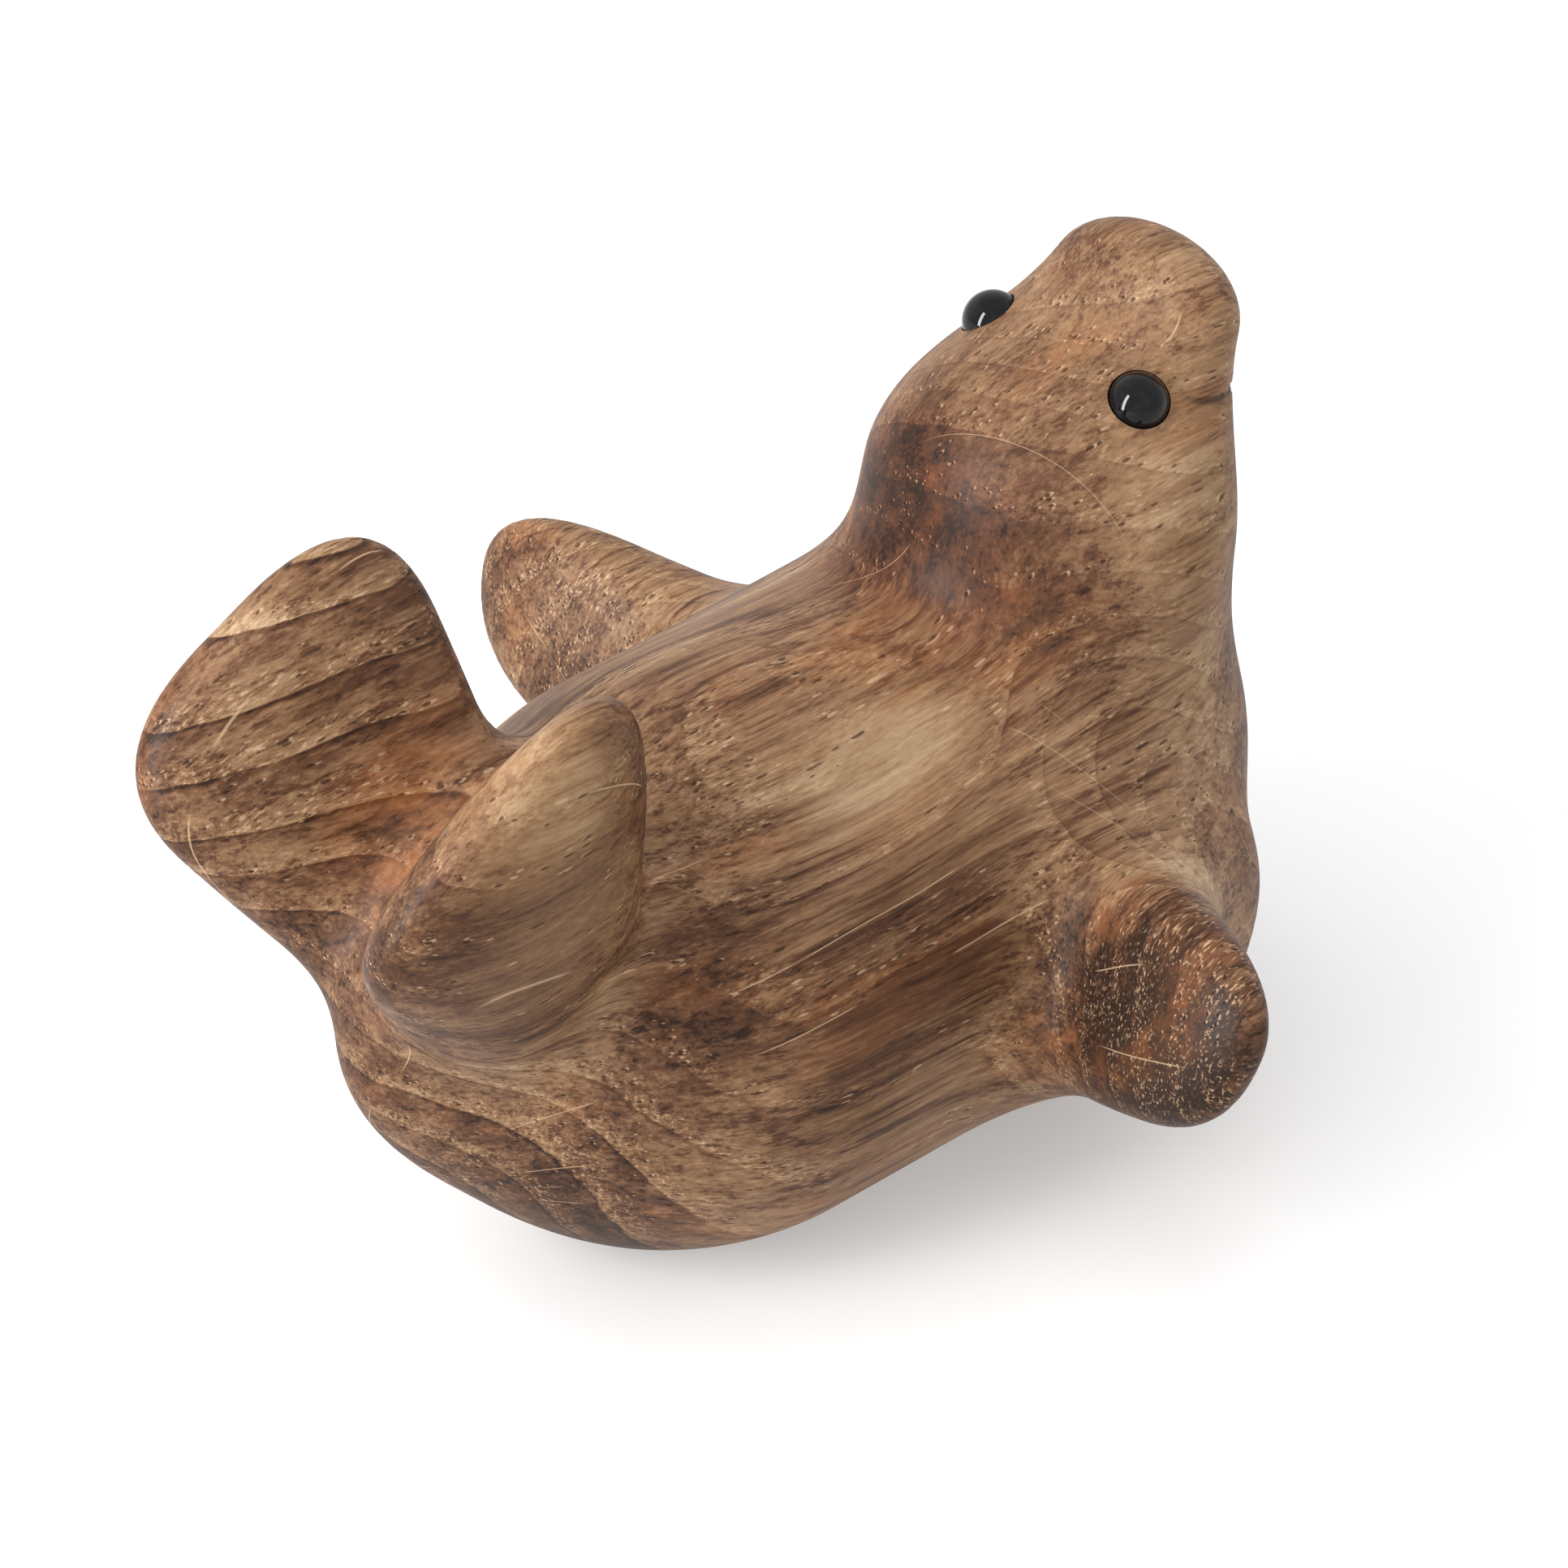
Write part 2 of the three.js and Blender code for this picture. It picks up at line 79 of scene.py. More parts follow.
Point = tuple[float, float, float]
Range = tuple[float, float]
Colour = tuple[float, float, float]
Numbers = np.ndarray


class Side(Enum):
    """The two sides of the seal, with the sign that Y takes there."""

    LEFT = 1
    RIGHT = -1


class Axis(Enum):
    """The three axes of the part."""

    X = 0
    Y = 1
    Z = 2


class Reach(Enum):
    """What a lamp lights: matt surfaces, or the shine on glossy ones."""

    SURFACES = 0
    GLOSS = 1


# Carving: distances are negative inside the wood and positive outside, in millimetres


def lengths(vectors: Numbers) -> Numbers:
    """Length of each row."""
    return np.sqrt((vectors * vectors).sum(-1))


def blended(a: Numbers, b: Numbers, width: float) -> Numbers:
    """Joins two distance fields with a fillet that starts a width in millimetres from the crease."""
    overlap = np.maximum(width - np.abs(a - b), 0) / width
    return np.minimum(a, b) - overlap * overlap * width * FILLET_SHARE


def round_cone(points: Numbers, a: Point, b: Point, radius_a: float, radius_b: float) -> Numbers:
    """Distance to a cone between two balls.

    Args:
        points: Points to measure from, one per row.
        a: Centre of the first ball.
        b: Centre of the second ball.
        radius_a: Radius of the first ball.
        radius_b: Radius of the second ball.

    Returns:
        One distance per point.
    """
    start = np.array(a, float)
    axis = np.array(b, float) - start
    length_sq = float(axis @ axis)
    slope = radius_a - radius_b
    flank_sq = length_sq - slope * slope
    from_a = points - start
    along = from_a @ axis
    beyond = along - length_sq
    across_sq = ((from_a * length_sq - along[:, None] * axis) ** 2).sum(1)
    along_sq = along * along * length_sq
    beyond_sq = beyond * beyond * length_sq
    limit = np.sign(slope) * slope * slope * across_sq
    flank = (np.sqrt(np.maximum(across_sq * flank_sq / length_sq, 0)) + along * slope) / length_sq - radius_a
    cap_b = np.sqrt(across_sq + beyond_sq) / length_sq - radius_b
    cap_a = np.sqrt(across_sq + along_sq) / length_sq - radius_a
    past_b = np.sign(beyond) * flank_sq * beyond_sq > limit
    before_a = np.sign(along) * flank_sq * along_sq < limit
    return np.where(past_b, cap_b, np.where(before_a, cap_a, flank))


def ellipsoid(points: Numbers, centre: Point, halves: Point, tilt: float) -> Numbers:
    """Distance to an ellipsoid turned about the Y axis.

    Args:
        points: Points to measure from, one per row.
        centre: Its centre.
        halves: Its half sizes.
        tilt: Its turn in degrees, which leans its top backwards.

    Returns:
        One distance per point.
    """
    offset = points - np.array(centre, float)
    cos, sin = math.cos(math.radians(tilt)), math.sin(math.radians(tilt))
    turned = np.stack(
        [offset[:, 0] * cos + offset[:, 2] * sin, offset[:, 1], offset[:, 2] * cos - offset[:, 0] * sin], 1
    )
    half = np.array(halves, float)
    near = lengths(turned / half)
    steep = lengths(turned / (half * half))
    return near * (near - 1) / np.maximum(steep, TINY)


def shaved(a: Numbers, b: Numbers, width: float) -> Numbers:
    """What two distance fields have in common, with the edge rounded over a width in millimetres."""
    return -blended(-a, -b, width)


@dataclass(frozen=True)
class BladeFace:
    """One face of a blade: which way it looks, and its distance from the blade's middle."""

    sign: int
    at_root: float
    at_tip: float
    rounding: float


@dataclass(frozen=True)
class Blade:
    """A flipper on the left side: a rounded outline between two faces, bent along its span."""

    root: Point
    span: Point
    chord_hint: Point
    length: float
    corners: tuple[tuple[float, float], ...]
    corner_rounding: float
    faces: tuple[BladeFace, ...]
    curl: float = 0.0

    def _axes(self) -> tuple[Numbers, Numbers, Numbers]:
        """The blade's own directions.

        Returns:
            The directions of its span, its chord and its thickness, square to each other.
        """
        span = np.array(self.span, float)
        span = span / lengths(span)
        hint = np.array(self.chord_hint, float)
        chord = hint - (hint @ span) * span
        chord = chord / lengths(chord)
        return span, chord, np.cross(span, chord)

    def distance(self, points: Numbers, side: Side) -> Numbers:
        """Distance to the blade, or to its mirror image.

        Args:
            points: Points to measure from, one per row.
            side: The side of the seal.

        Returns:
            One distance per point.
        """
        span, chord, normal = self._axes()
        local = points * np.array([1, side.value, 1]) - np.array(self.root)
        along = local @ span
        lift = local @ normal - self.curl * along**2
        tilt = 2 * self.curl * along
        u = along + tilt * lift / (1 + tilt**2)
        v = local @ chord
        w = lift / np.sqrt(1 + tilt**2)
        d = np.full_like(u, -np.inf)
        for (u0, v0), (u1, v1) in zip(self.corners, [*self.corners[1:], self.corners[0]]):
            beyond = ((u - u0) * (v1 - v0) - (v - v0) * (u1 - u0)) / math.hypot(u1 - u0, v1 - v0)
            d = shaved(d, beyond, self.corner_rounding)
        for face in self.faces:
            thickness = face.at_root + (face.at_tip - face.at_root) * u / self.length
            d = shaved(d, face.sign * w - thickness, face.rounding)
        return d


@dataclass(frozen=True)
class ForeFlipper:
    """Sizes of the fore flippers: thick at the root, thin at the tip, swept back."""

    x: float = 32.4
    out: float = 20.7
    height: float = 14.4
    length: float = 37.9
    root_depth: float = 6.5
    sweep: float = -64.0
    rise: float = 18.8
    pitch: float = 72.1
    root_lead: float = 22.1
    root_trail: float = -9.4
    bulge_station: float = 10.7
    bulge_lead: float = 23.8
    bulge_trail: float = -6.3
    tip_lead: float = 27.5
    tip_trail: float = 4.8
    corner_rounding: float = 9.0
    curl: float = 0.0176
    root_front: float = 9.4
    root_back: float = 12.9
    tip_thickness: float = 3.1
    face_rounding: float = 8.0
    blend: float = 8.0

    def blade(self) -> Blade:
        """Lays out the blade.

        Returns:
            The blade on the left side, with these sizes.
        """
        sweep, rise, pitch = (math.radians(a) for a in (self.sweep, self.rise, self.pitch))
        return Blade(
            root=(self.x, self.out, self.height),
            span=(math.sin(sweep), math.cos(sweep) * math.cos(rise), math.sin(rise)),
            chord_hint=(math.cos(pitch), 0, math.sin(pitch)),
            length=self.length,
            corners=(
                (-self.root_depth, self.root_trail),
                (self.bulge_station, self.bulge_trail),
                (self.length, self.tip_trail),
                (self.length, self.tip_lead),
                (self.bulge_station, self.bulge_lead),
                (-self.root_depth, self.root_lead),
            ),
            corner_rounding=self.corner_rounding,
            faces=(
                BladeFace(1, self.root_front, self.tip_thickness, self.face_rounding),
                BladeFace(-1, self.root_back, self.tip_thickness, self.face_rounding),
            ),
            curl=self.curl,
        )


@dataclass(frozen=True)
class TailPaddle:
    """Sizes of the two upright paddles, spread in a V, flat inside and swollen outside."""

    x: float = -33.2
    out: float = 5.5
    height: float = 44.9
    length: float = 34.1
    root_depth: float = 9.5
    lean_back: float = 28.1
    spread: float = 29.1
    chord_tilt: float = 30.2
    root_chord: float = 19.4
    tip_chord: float = 43.6
    tip_shift: float = -5.2
    corner_rounding: float = 14.8
    inner: float = 5.2
    root_outer: float = 12.6
    tip_outer: float = 3.7
    inner_rounding: float = 7.3
    outer_rounding: float = 13.6
    blend: float = 4.5

    def blade(self) -> Blade:
        """Lays out the blade.

        Returns:
            The blade on the left side, with these sizes.
        """
        back, out, tilt = (math.radians(a) for a in (-self.lean_back, self.spread, self.chord_tilt))
        return Blade(
            root=(self.x, self.out, self.height),
            span=(math.sin(back) * math.cos(out), math.sin(out), math.cos(back) * math.cos(out)),
            chord_hint=(-math.cos(tilt), 0, -math.sin(tilt)),
            length=self.length,
            corners=(
                (-self.root_depth, -self.root_chord / 2),
                (self.length, self.tip_shift - self.tip_chord / 2),
                (self.length, self.tip_shift + self.tip_chord / 2),
                (-self.root_depth, self.root_chord / 2),
            ),
            corner_rounding=self.corner_rounding,
            faces=(
                BladeFace(-1, self.root_outer, self.tip_outer, self.outer_rounding),
                BladeFace(1, self.inner, self.inner, self.inner_rounding),
            ),
        )


@dataclass(frozen=True)
class Trunk:
    """Sizes of the trunk, its shoulders and the tail stock behind it."""

    rump_x: float = -4.7
    rump_radius: float = 27.9
    chest_x: float = 28.3
    chest_radius: float = 28.4
    chest_lift: float = 0.8
    shoulder_x: float = 38.0
    shoulder_height: float = 35.7
    shoulder_radius: float = 21.7
    shoulder_blend: float = 3.8
    stock_x: float = -26.5
    stock_height: float = 36.0
    stock_radius: float = 19.0
    stock_root_radius: float = 22.3
    stock_narrowing: float = 1.86
    stock_blend: float = 12.0
    stock_start: float = 4.0
    belly_sanding: float = 1.4
    belly_arris: float = 0.8

    def distance(self, points: Numbers) -> Numbers:
        """Distance to the trunk with its tail stock and shoulders.

        Args:
            points: Points to measure from, one per row.

        Returns:
            One distance per point.
        """
        rump = (self.rump_x, 0, self.rump_radius)
        chest = (self.chest_x, 0, self.chest_radius + self.chest_lift)
        trunk = round_cone(points, rump, chest, self.rump_radius, self.chest_radius)
        stock = round_cone(
            points * np.array([1, self.stock_narrowing, 1]),
            (self.rump_x - self.stock_start, 0, self.rump_radius + self.stock_start),
            (self.stock_x, 0, self.stock_height), self.stock_root_radius, self.stock_radius,
        )
        trunk = blended(trunk, stock / self.stock_narrowing, self.stock_blend)
        shoulder = lengths(points - np.array([self.shoulder_x, 0, self.shoulder_height]))
        return blended(trunk, shoulder - self.shoulder_radius, self.shoulder_blend)


@dataclass(frozen=True)
class Head:
    """Sizes of the egg-shaped head, its broad muzzle and the mouth line."""

    x: float = 40.5
    height: float = 58.3
    half_length: float = 14.0
    half_width: float = 16.8
    half_depth: float = 18.8
    tilt: float = 44.3
    blend: float = 8.1
    muzzle_x: float = 53.1
    muzzle_height: float = 78.1
    muzzle_radius: float = 6.2
    muzzle_root_radius: float = 7.1
    muzzle_narrowing: float = 0.58
    muzzle_blend: float = 14.5
    mouth_corner_x: float = 45.5
    mouth_corner_height: float = 74.5
    mouth_fall: float = 0.27
    mouth_depth: float = 0.5
    mouth_half_width: float = 0.38
    mouth_fade: float = 4.0

    def distance(self, points: Numbers) -> Numbers:
        """Distance to the skull with its muzzle.

        Args:
            points: Points to measure from, one per row.

        Returns:
            One distance per point.
        """
        centre = (self.x, 0, self.height)
        skull = ellipsoid(points, centre, (self.half_length, self.half_width, self.half_depth), self.tilt)
        muzzle = round_cone(
            points * np.array([1, self.muzzle_narrowing, 1]),
            centre, (self.muzzle_x, 0, self.muzzle_height), self.muzzle_root_radius, self.muzzle_radius,
        )
        return blended(skull, muzzle, self.muzzle_blend)

    def mouth_groove(self, points: Numbers) -> Numbers:
        """The line of the mouth.

        Args:
            points: Points near the surface, one per row.

        Returns:
            How deep the line is cut at each point, in millimetres.
        """
        forward = points[:, 0] - self.mouth_corner_x
        off_line = points[:, 2] - self.mouth_corner_height + self.mouth_fall * forward
        reach = np.clip(forward / self.mouth_fade, 0, 1)
        return self.mouth_depth * reach * np.exp(-((off_line / self.mouth_half_width) ** 2))


@dataclass(frozen=True)
class Carving:
    """The whole carved form as one distance field."""

    trunk: Trunk = field(default_factory=Trunk)
    head: Head = field(default_factory=Head)
    fore: ForeFlipper = field(default_factory=ForeFlipper)
    paddle: TailPaddle = field(default_factory=TailPaddle)
    least_steepness: float = 0.1

    def distance(self, points: Numbers) -> Numbers:
        """Distance to the finished surface.

        Args:
            points: Points to measure from, one per row.

        Returns:
            One distance per point.
        """
        d = blended(self.trunk.distance(points), self.head.distance(points), self.head.blend)
        fore, paddle = self.fore.blade(), self.paddle.blade()
        for side in Side:
            d = blended(d, fore.distance(points, side), self.fore.blend)
            d = blended(d, paddle.distance(points, side), self.paddle.blend)
        d = d + self.head.mouth_groove(points)
        return -blended(-d, points[:, 2] - self.trunk.belly_sanding, self.trunk.belly_arris)

    def slope(self, points: Numbers, reach: float = 0.04) -> Numbers:
        """Gradient of the distance.

        Args:
            points: Points to measure at, one per row.
            reach: How far to either side it is measured, in millimetres.

        Returns:
            One gradient per point.
        """
        parts = []
        for axis in Axis:
            step = np.zeros(3)
            step[axis.value] = reach
            parts.append((self.distance(points + step) - self.distance(points - step)) / (2 * reach))
        return np.stack(parts, 1)

    def settled(self, points: Numbers, steps: int) -> Numbers:
        """Points moved onto the surface.

        Args:
            points: Points near the surface, one per row.
            steps: How many times each point is moved.

        Returns:
            The moved points.
        """
        for _ in range(steps):
            slope = self.slope(points)
            steepness = np.maximum((slope * slope).sum(1), self.least_steepness)
            points = points - slope * (self.distance(points) / steepness)[:, None]
        return points


@dataclass
class Skin:
    """Turns a carving into an even mesh of four-sided faces."""

    carving: Carving
    low: Point = (-64.0, 0.0, 0.0)
    high: Point = (64.0, 61.0, 90.0)
    cell: float = 0.85
    first_steps: int = 4
    evening_rounds: int = 4
    evening_share: float = 0.5
    last_steps: int = 2

    def _samples(self) -> tuple[Numbers, Numbers]:
        """Measures the carving on a grid that is mirrored about the middle plane.

        Returns:
            The distances, and the grid's first corner.
        """
        counts = [int(math.ceil((h - l) / self.cell)) + 1 for l, h in zip(self.low, self.high)]
        axes = [l + self.cell * np.arange(n) for l, n in zip(self.low, counts)]
        grid = np.stack(np.meshgrid(*axes, indexing="ij"), -1).reshape(-1, 3)
        half = self.carving.distance(grid).reshape(counts)
        values = np.concatenate([half[:, :0:-1], half], 1)
        corner = np.array([self.low[0], -self.cell * (counts[1] - 1), self.low[2]])
        return values, corner

    def _cell_points(self, values: Numbers, corner: Numbers) -> tuple[Numbers, Numbers]:
        """Puts one point in each cell that the surface crosses.

        Args:
            values: Distances on the grid.
            corner: The grid's first corner.

        Returns:
            The points, and each cell's point number.
        """
        shape = tuple(n - 1 for n in values.shape)
        total = np.zeros((*shape, 3))
        crossings = np.zeros(shape)
        offsets = [(a, b, c) for a in (0, 1) for b in (0, 1) for c in (0, 1)]
        pairs = [(start, stop) for start in offsets for stop in offsets]
        for start, stop in pairs:
            way = np.array(stop) - np.array(start)
            if way.min() < 0 or way.sum() != 1:
                continue
            v0 = values[tuple(slice(o, o + n) for o, n in zip(start, shape))]
            v1 = values[tuple(slice(o, o + n) for o, n in zip(stop, shape))]
            crossed = (v0 < 0) != (v1 < 0)
            t = np.where(crossed, v0 / np.where(crossed, v0 - v1, 1), 0)
            total += crossed[..., None] * (np.array(start) + t[..., None] * way)
            crossings += crossed
        cells = np.argwhere(crossings > 0)
        index = tuple(cells.T)
        numbers = np.full(shape, -1)
        numbers[index] = np.arange(len(cells))
        return corner + self.cell * (cells + total[index] / crossings[index][:, None]), numbers

    @staticmethod
    def _faces(values: Numbers, numbers: Numbers) -> Numbers:
        """Makes one face for each edge of the grid that the surface crosses.

        Args:
            values: Distances on the grid.
            numbers: Each cell's point number.

        Returns:
            The faces as four point numbers each, facing outwards.
        """
        inside = values < 0
        faces = []
        for axis in Axis:
            a = axis.value
            b, c = (a + 1) % 3, (a + 2) % 3
            along = np.moveaxis(inside, (a, b, c), (0, 1, 2))
            cells = np.moveaxis(numbers, (a, b, c), (0, 1, 2))
            here, there = along[:-1, 1:-1, 1:-1], along[1:, 1:-1, 1:-1]
            i, j, k = np.nonzero(here != there)
            corners = cells[i, j, k], cells[i, j + 1, k], cells[i, j + 1, k + 1], cells[i, j, k + 1]
            ring = np.stack(corners, 1)
            leaving = here[i, j, k]
            faces.append(np.where(leaving[:, None], ring, ring[:, ::-1]))
        return np.concatenate(faces)

    def build(self) -> tuple[Numbers, Numbers]:
        """The skin's points and faces.

        Returns:
            The points, one per row, and the faces as four point numbers each.
        """
        values, corner = self._samples()
        points, numbers = self._cell_points(values, corner)
        faces = self._faces(values, numbers)
        points = self.carving.settled(points, self.first_steps)
        links = np.concatenate([faces[:, [n, (n + 1) % 4]] for n in range(4)])
        links = np.concatenate([links, links[:, ::-1]])
        ties = np.bincount(links[:, 0], minlength=len(points))[:, None]
        for _ in range(self.evening_rounds):
            sums = [np.bincount(links[:, 0], column, len(points)) for column in points[links[:, 1]].T]
            middle = np.stack(sums, 1) / ties
            points = self.carving.settled(points + (middle - points) * self.evening_share, 1)
        return self.carving.settled(points, self.last_steps), faces


# Shader nodes written as sums

Value = Union[float, int, tuple, "Shade"]

# Numbers of a Mix node's colour sockets, because their names aren't theirs alone
MIX_A, MIX_B, MIX_RESULT = 6, 7, 2


class Shade:
    """One value that flows between shader nodes; arithmetic on it adds Math nodes."""

    def __init__(self, desk: "NodeDesk", socket: bpy.types.NodeSocket) -> None:
        """Wraps an output socket of a node on the desk."""
        self.desk = desk
        self.socket = socket

    def __add__(self, other: Value) -> "Shade":
        """Sum."""
        return self.desk.math("ADD", self, other)

    __radd__ = __add__

    def __sub__(self, other: Value) -> "Shade":
        """Difference."""
        return self.desk.math("SUBTRACT", self, other)

    def __rsub__(self, other: Value) -> "Shade":
        """Difference from a number."""
        return self.desk.math("SUBTRACT", other, self)

    def __mul__(self, other: Value) -> "Shade":
        """Product."""
        return self.desk.math("MULTIPLY", self, other)

    __rmul__ = __mul__

    def __truediv__(self, other: Value) -> "Shade":
        """Quotient."""
        return self.desk.math("DIVIDE", self, other)

    def __rtruediv__(self, other: Value) -> "Shade":
        """Quotient of a number."""
        return self.desk.math("DIVIDE", other, self)

    def __abs__(self) -> "Shade":
        """Size without its sign."""
        return self.desk.math("ABSOLUTE", self)

    def fraction(self) -> "Shade":
        """What is left after the whole number."""
        return self.desk.math("FRACT", self)

    def whole(self) -> "Shade":
        """The whole number at or below."""
        return self.desk.math("FLOOR", self)


class NodeDesk:
    """A material's node tree, and the few ways of adding nodes to it."""

    def __init__(self, name: str) -> None:
        """Starts a material with an empty node tree.

        Args:
            name: The material's name.
        """
        self.material = bpy.data.materials.new(name)
        self.material.use_nodes = True
        self.tree = self.material.node_tree
        self.tree.nodes.clear()

    def node(
        self,
        kind: str,
        settings: Mapping[str, object] | None = None,
        inputs: Mapping[str | int, Value] | None = None,
    ) -> bpy.types.Node:
        """Adds one node.

        Args:
            kind: Its type, such as ShaderNodeMath.
            settings: Its options, set before its sockets; "stops" gives a ramp's stops.
            inputs: Values or links of its input sockets, by name or number.

        Returns:
            The node.
        """
        made = self.tree.nodes.new(kind)
        for key, value in (settings or {}).items():
            if key == "stops":
                self._set_stops(made.color_ramp, value)
            else:
                setattr(made, key, value)
        for key, value in (inputs or {}).items():
            socket = made.inputs[key]
            if isinstance(value, Shade):
                self.tree.links.new(value.socket, socket)
            else:
                socket.default_value = value
        return made

    @staticmethod
    def _set_stops(ramp: bpy.types.ColorRamp, stops: Sequence[tuple[float, Colour]]) -> None:
        """Gives a ramp its stops.

        Args:
            ramp: The ramp.
            stops: The place and the colour of each stop.
        """
        while len(ramp.elements) > 1:
            ramp.elements.remove(ramp.elements[-1])
        for n, (place, colour) in enumerate(stops):
            element = ramp.elements[0] if n == 0 else ramp.elements.new(place)
            element.position = place
            element.color = (*colour, 1)

    def out(self, node: bpy.types.Node, socket: str | int = 0) -> Shade:
        """One output of a node."""
        return Shade(self, node.outputs[socket])

    def math(self, operation: str, *values: Value) -> Shade:
        """A Math node on up to three values."""
        return self.out(self.node("ShaderNodeMath", {"operation": operation}, dict(enumerate(values))))

    def vector_math(self, operation: str, *values: Value, scale: float = 1) -> Shade:
        """Adds a Vector Math node.

        Args:
            operation: What it does.
            *values: Its vectors.
            scale: The factor that the operation SCALE takes.

        Returns:
            The vector it gives.
        """
        inputs: dict[str | int, Value] = dict(enumerate(values))
        if operation == "SCALE":
            inputs["Scale"] = scale
        return self.out(self.node("ShaderNodeVectorMath", {"operation": operation}, inputs))

    def split(self, vector: Shade) -> tuple[Shade, Shade, Shade]:
        """The three numbers of a vector."""
        made = self.node("ShaderNodeSeparateXYZ", inputs={0: vector})
        return self.out(made, 0), self.out(made, 1), self.out(made, 2)

    def join(self, x: Value, y: Value, z: Value) -> Shade:
        """A vector of three numbers."""
        return self.out(self.node("ShaderNodeCombineXYZ", inputs={0: x, 1: y, 2: z}))

    def millimetres(self) -> Shade:
        """Where the shaded point is on its object, in millimetres."""
        coords = self.out(self.node("ShaderNodeTexCoord"), "Object")
        return self.vector_math("SCALE", coords, scale=1 / MM)

    def noise(self, vector: Shade, detail: float, roughness: float = 0.5) -> Shade:
        """Adds a noise whose cells are one unit across in the vector it is given.

        Args:
            vector: Where it is looked up.
            detail: How many times finer noise is added.
            roughness: How strong the finer noise is.

        Returns:
            A value between 0 and 1.
        """
        made = self.node(
            "ShaderNodeTexNoise", {"noise_dimensions": "3D"},
            {"Vector": vector, "Scale": 1, "Detail": detail, "Roughness": roughness},
        )
        return self.out(made, 0)

    def step(self, value: Shade, start: float, stop: float) -> Shade:
        """Adds a smooth step between 0 and 1.

        Args:
            value: What is measured.
            start: The value at which the step is 0.
            stop: The value at which it is 1, above or below the start.

        Returns:
            The step.
        """
        low, high = min(start, stop), max(start, stop)
        ends = (0, 1) if start < stop else (1, 0)
        made = self.node(
            "ShaderNodeMapRange", {"interpolation_type": "SMOOTHSTEP"},
            {"Value": value, "From Min": low, "From Max": high, "To Min": ends[0], "To Max": ends[1]},
        )
        return self.out(made, 0)

    def ramp(self, value: Shade, stops: Sequence[tuple[float, Colour]]) -> Shade:
        """A colour ramp."""
        return self.out(self.node("ShaderNodeValToRGB", {"stops": stops}, {0: value}), 0)

    def mix(self, factor: Value, a: Value, b: Value, blend: str = "MIX") -> Shade:
        """Two colours mixed."""
        settings = {"data_type": "RGBA", "blend_type": blend}
        return self.out(self.node("ShaderNodeMix", settings, {0: factor, MIX_A: a, MIX_B: b}), MIX_RESULT)

    def finish(self, **sockets: Value) -> bpy.types.Material:
        """Ends the tree with a Principled shader.

        Args:
            **sockets: Its inputs, with an underscore in place of each blank.

        Returns:
            The material.
        """
        inputs = {name.replace("_", " "): value for name, value in sockets.items()}
        shader = self.node("ShaderNodeBsdfPrincipled", inputs=inputs)
        self.node("ShaderNodeOutputMaterial", inputs={"Surface": self.out(shader)})
        return self.material


def srgb(red: int, green: int, blue: int) -> Colour:
    """A screen colour, with parts from 0 to 255, as linear light."""
    linear = Color((red / 255, green / 255, blue / 255)).from_srgb_to_scene_linear()
    return linear.r, linear.g, linear.b


@dataclass(frozen=True)
class Patch:
    """A soft-edged region of the wood, with how strongly something happens in it."""

    centre: Point
    radius: Point
    strength: float


def patched(desk: NodeDesk, place: Shade, patches: Sequence[Patch]) -> Shade:
    """The sum of soft patches.

    Args:
        desk: The material's desk.
        place: Where the shaded point is, in millimetres.
        patches: The patches, one at least.

    Returns:
        Their strength at the shaded point.
    """
    total: Shade | None = None
    for patch in patches:
        offset = desk.vector_math("SUBTRACT", place, patch.centre)
        scaled = desk.vector_math("DIVIDE", offset, patch.radius)
        length = desk.out(desk.node("ShaderNodeVectorMath", {"operation": "LENGTH"}, {0: scaled}), "Value")
        here = desk.step(length, *PATCH_EDGE) * patch.strength
        total = here if total is None else total + here
    return total


@dataclass(frozen=True)
class Weave:
    """Noise stretched along the fibres, with its cells per millimetre along, across and up."""

    scale: Point
    detail: float = 2.0
    roughness: float = 0.5
    shift: float = 0.0

    def over(self, desk: NodeDesk, tree: Shade) -> Shade:
        """The noise at the shaded point.

        Args:
            desk: The material's desk.
            tree: Where the shaded point lies along the fibres, across them and up.

        Returns:
            A value between 0 and 1.
        """
        place = desk.vector_math("MULTIPLY", tree, self.scale)
        if self.shift:
            place = desk.vector_math("ADD", place, (self.shift, 0, 0))
        return desk.noise(place, self.detail, self.roughness)


@dataclass(frozen=True)
class Grain:
    """Where the shaded point lies on the part and in the tree, and how far it shows end grain."""

    place: Shade
    tree: Shade
    x: Shade
    across: Shade
    up: Shade
    radius: Shade
    angle: Shade
    phase: Shade
    ring: Shade
    end: Shade


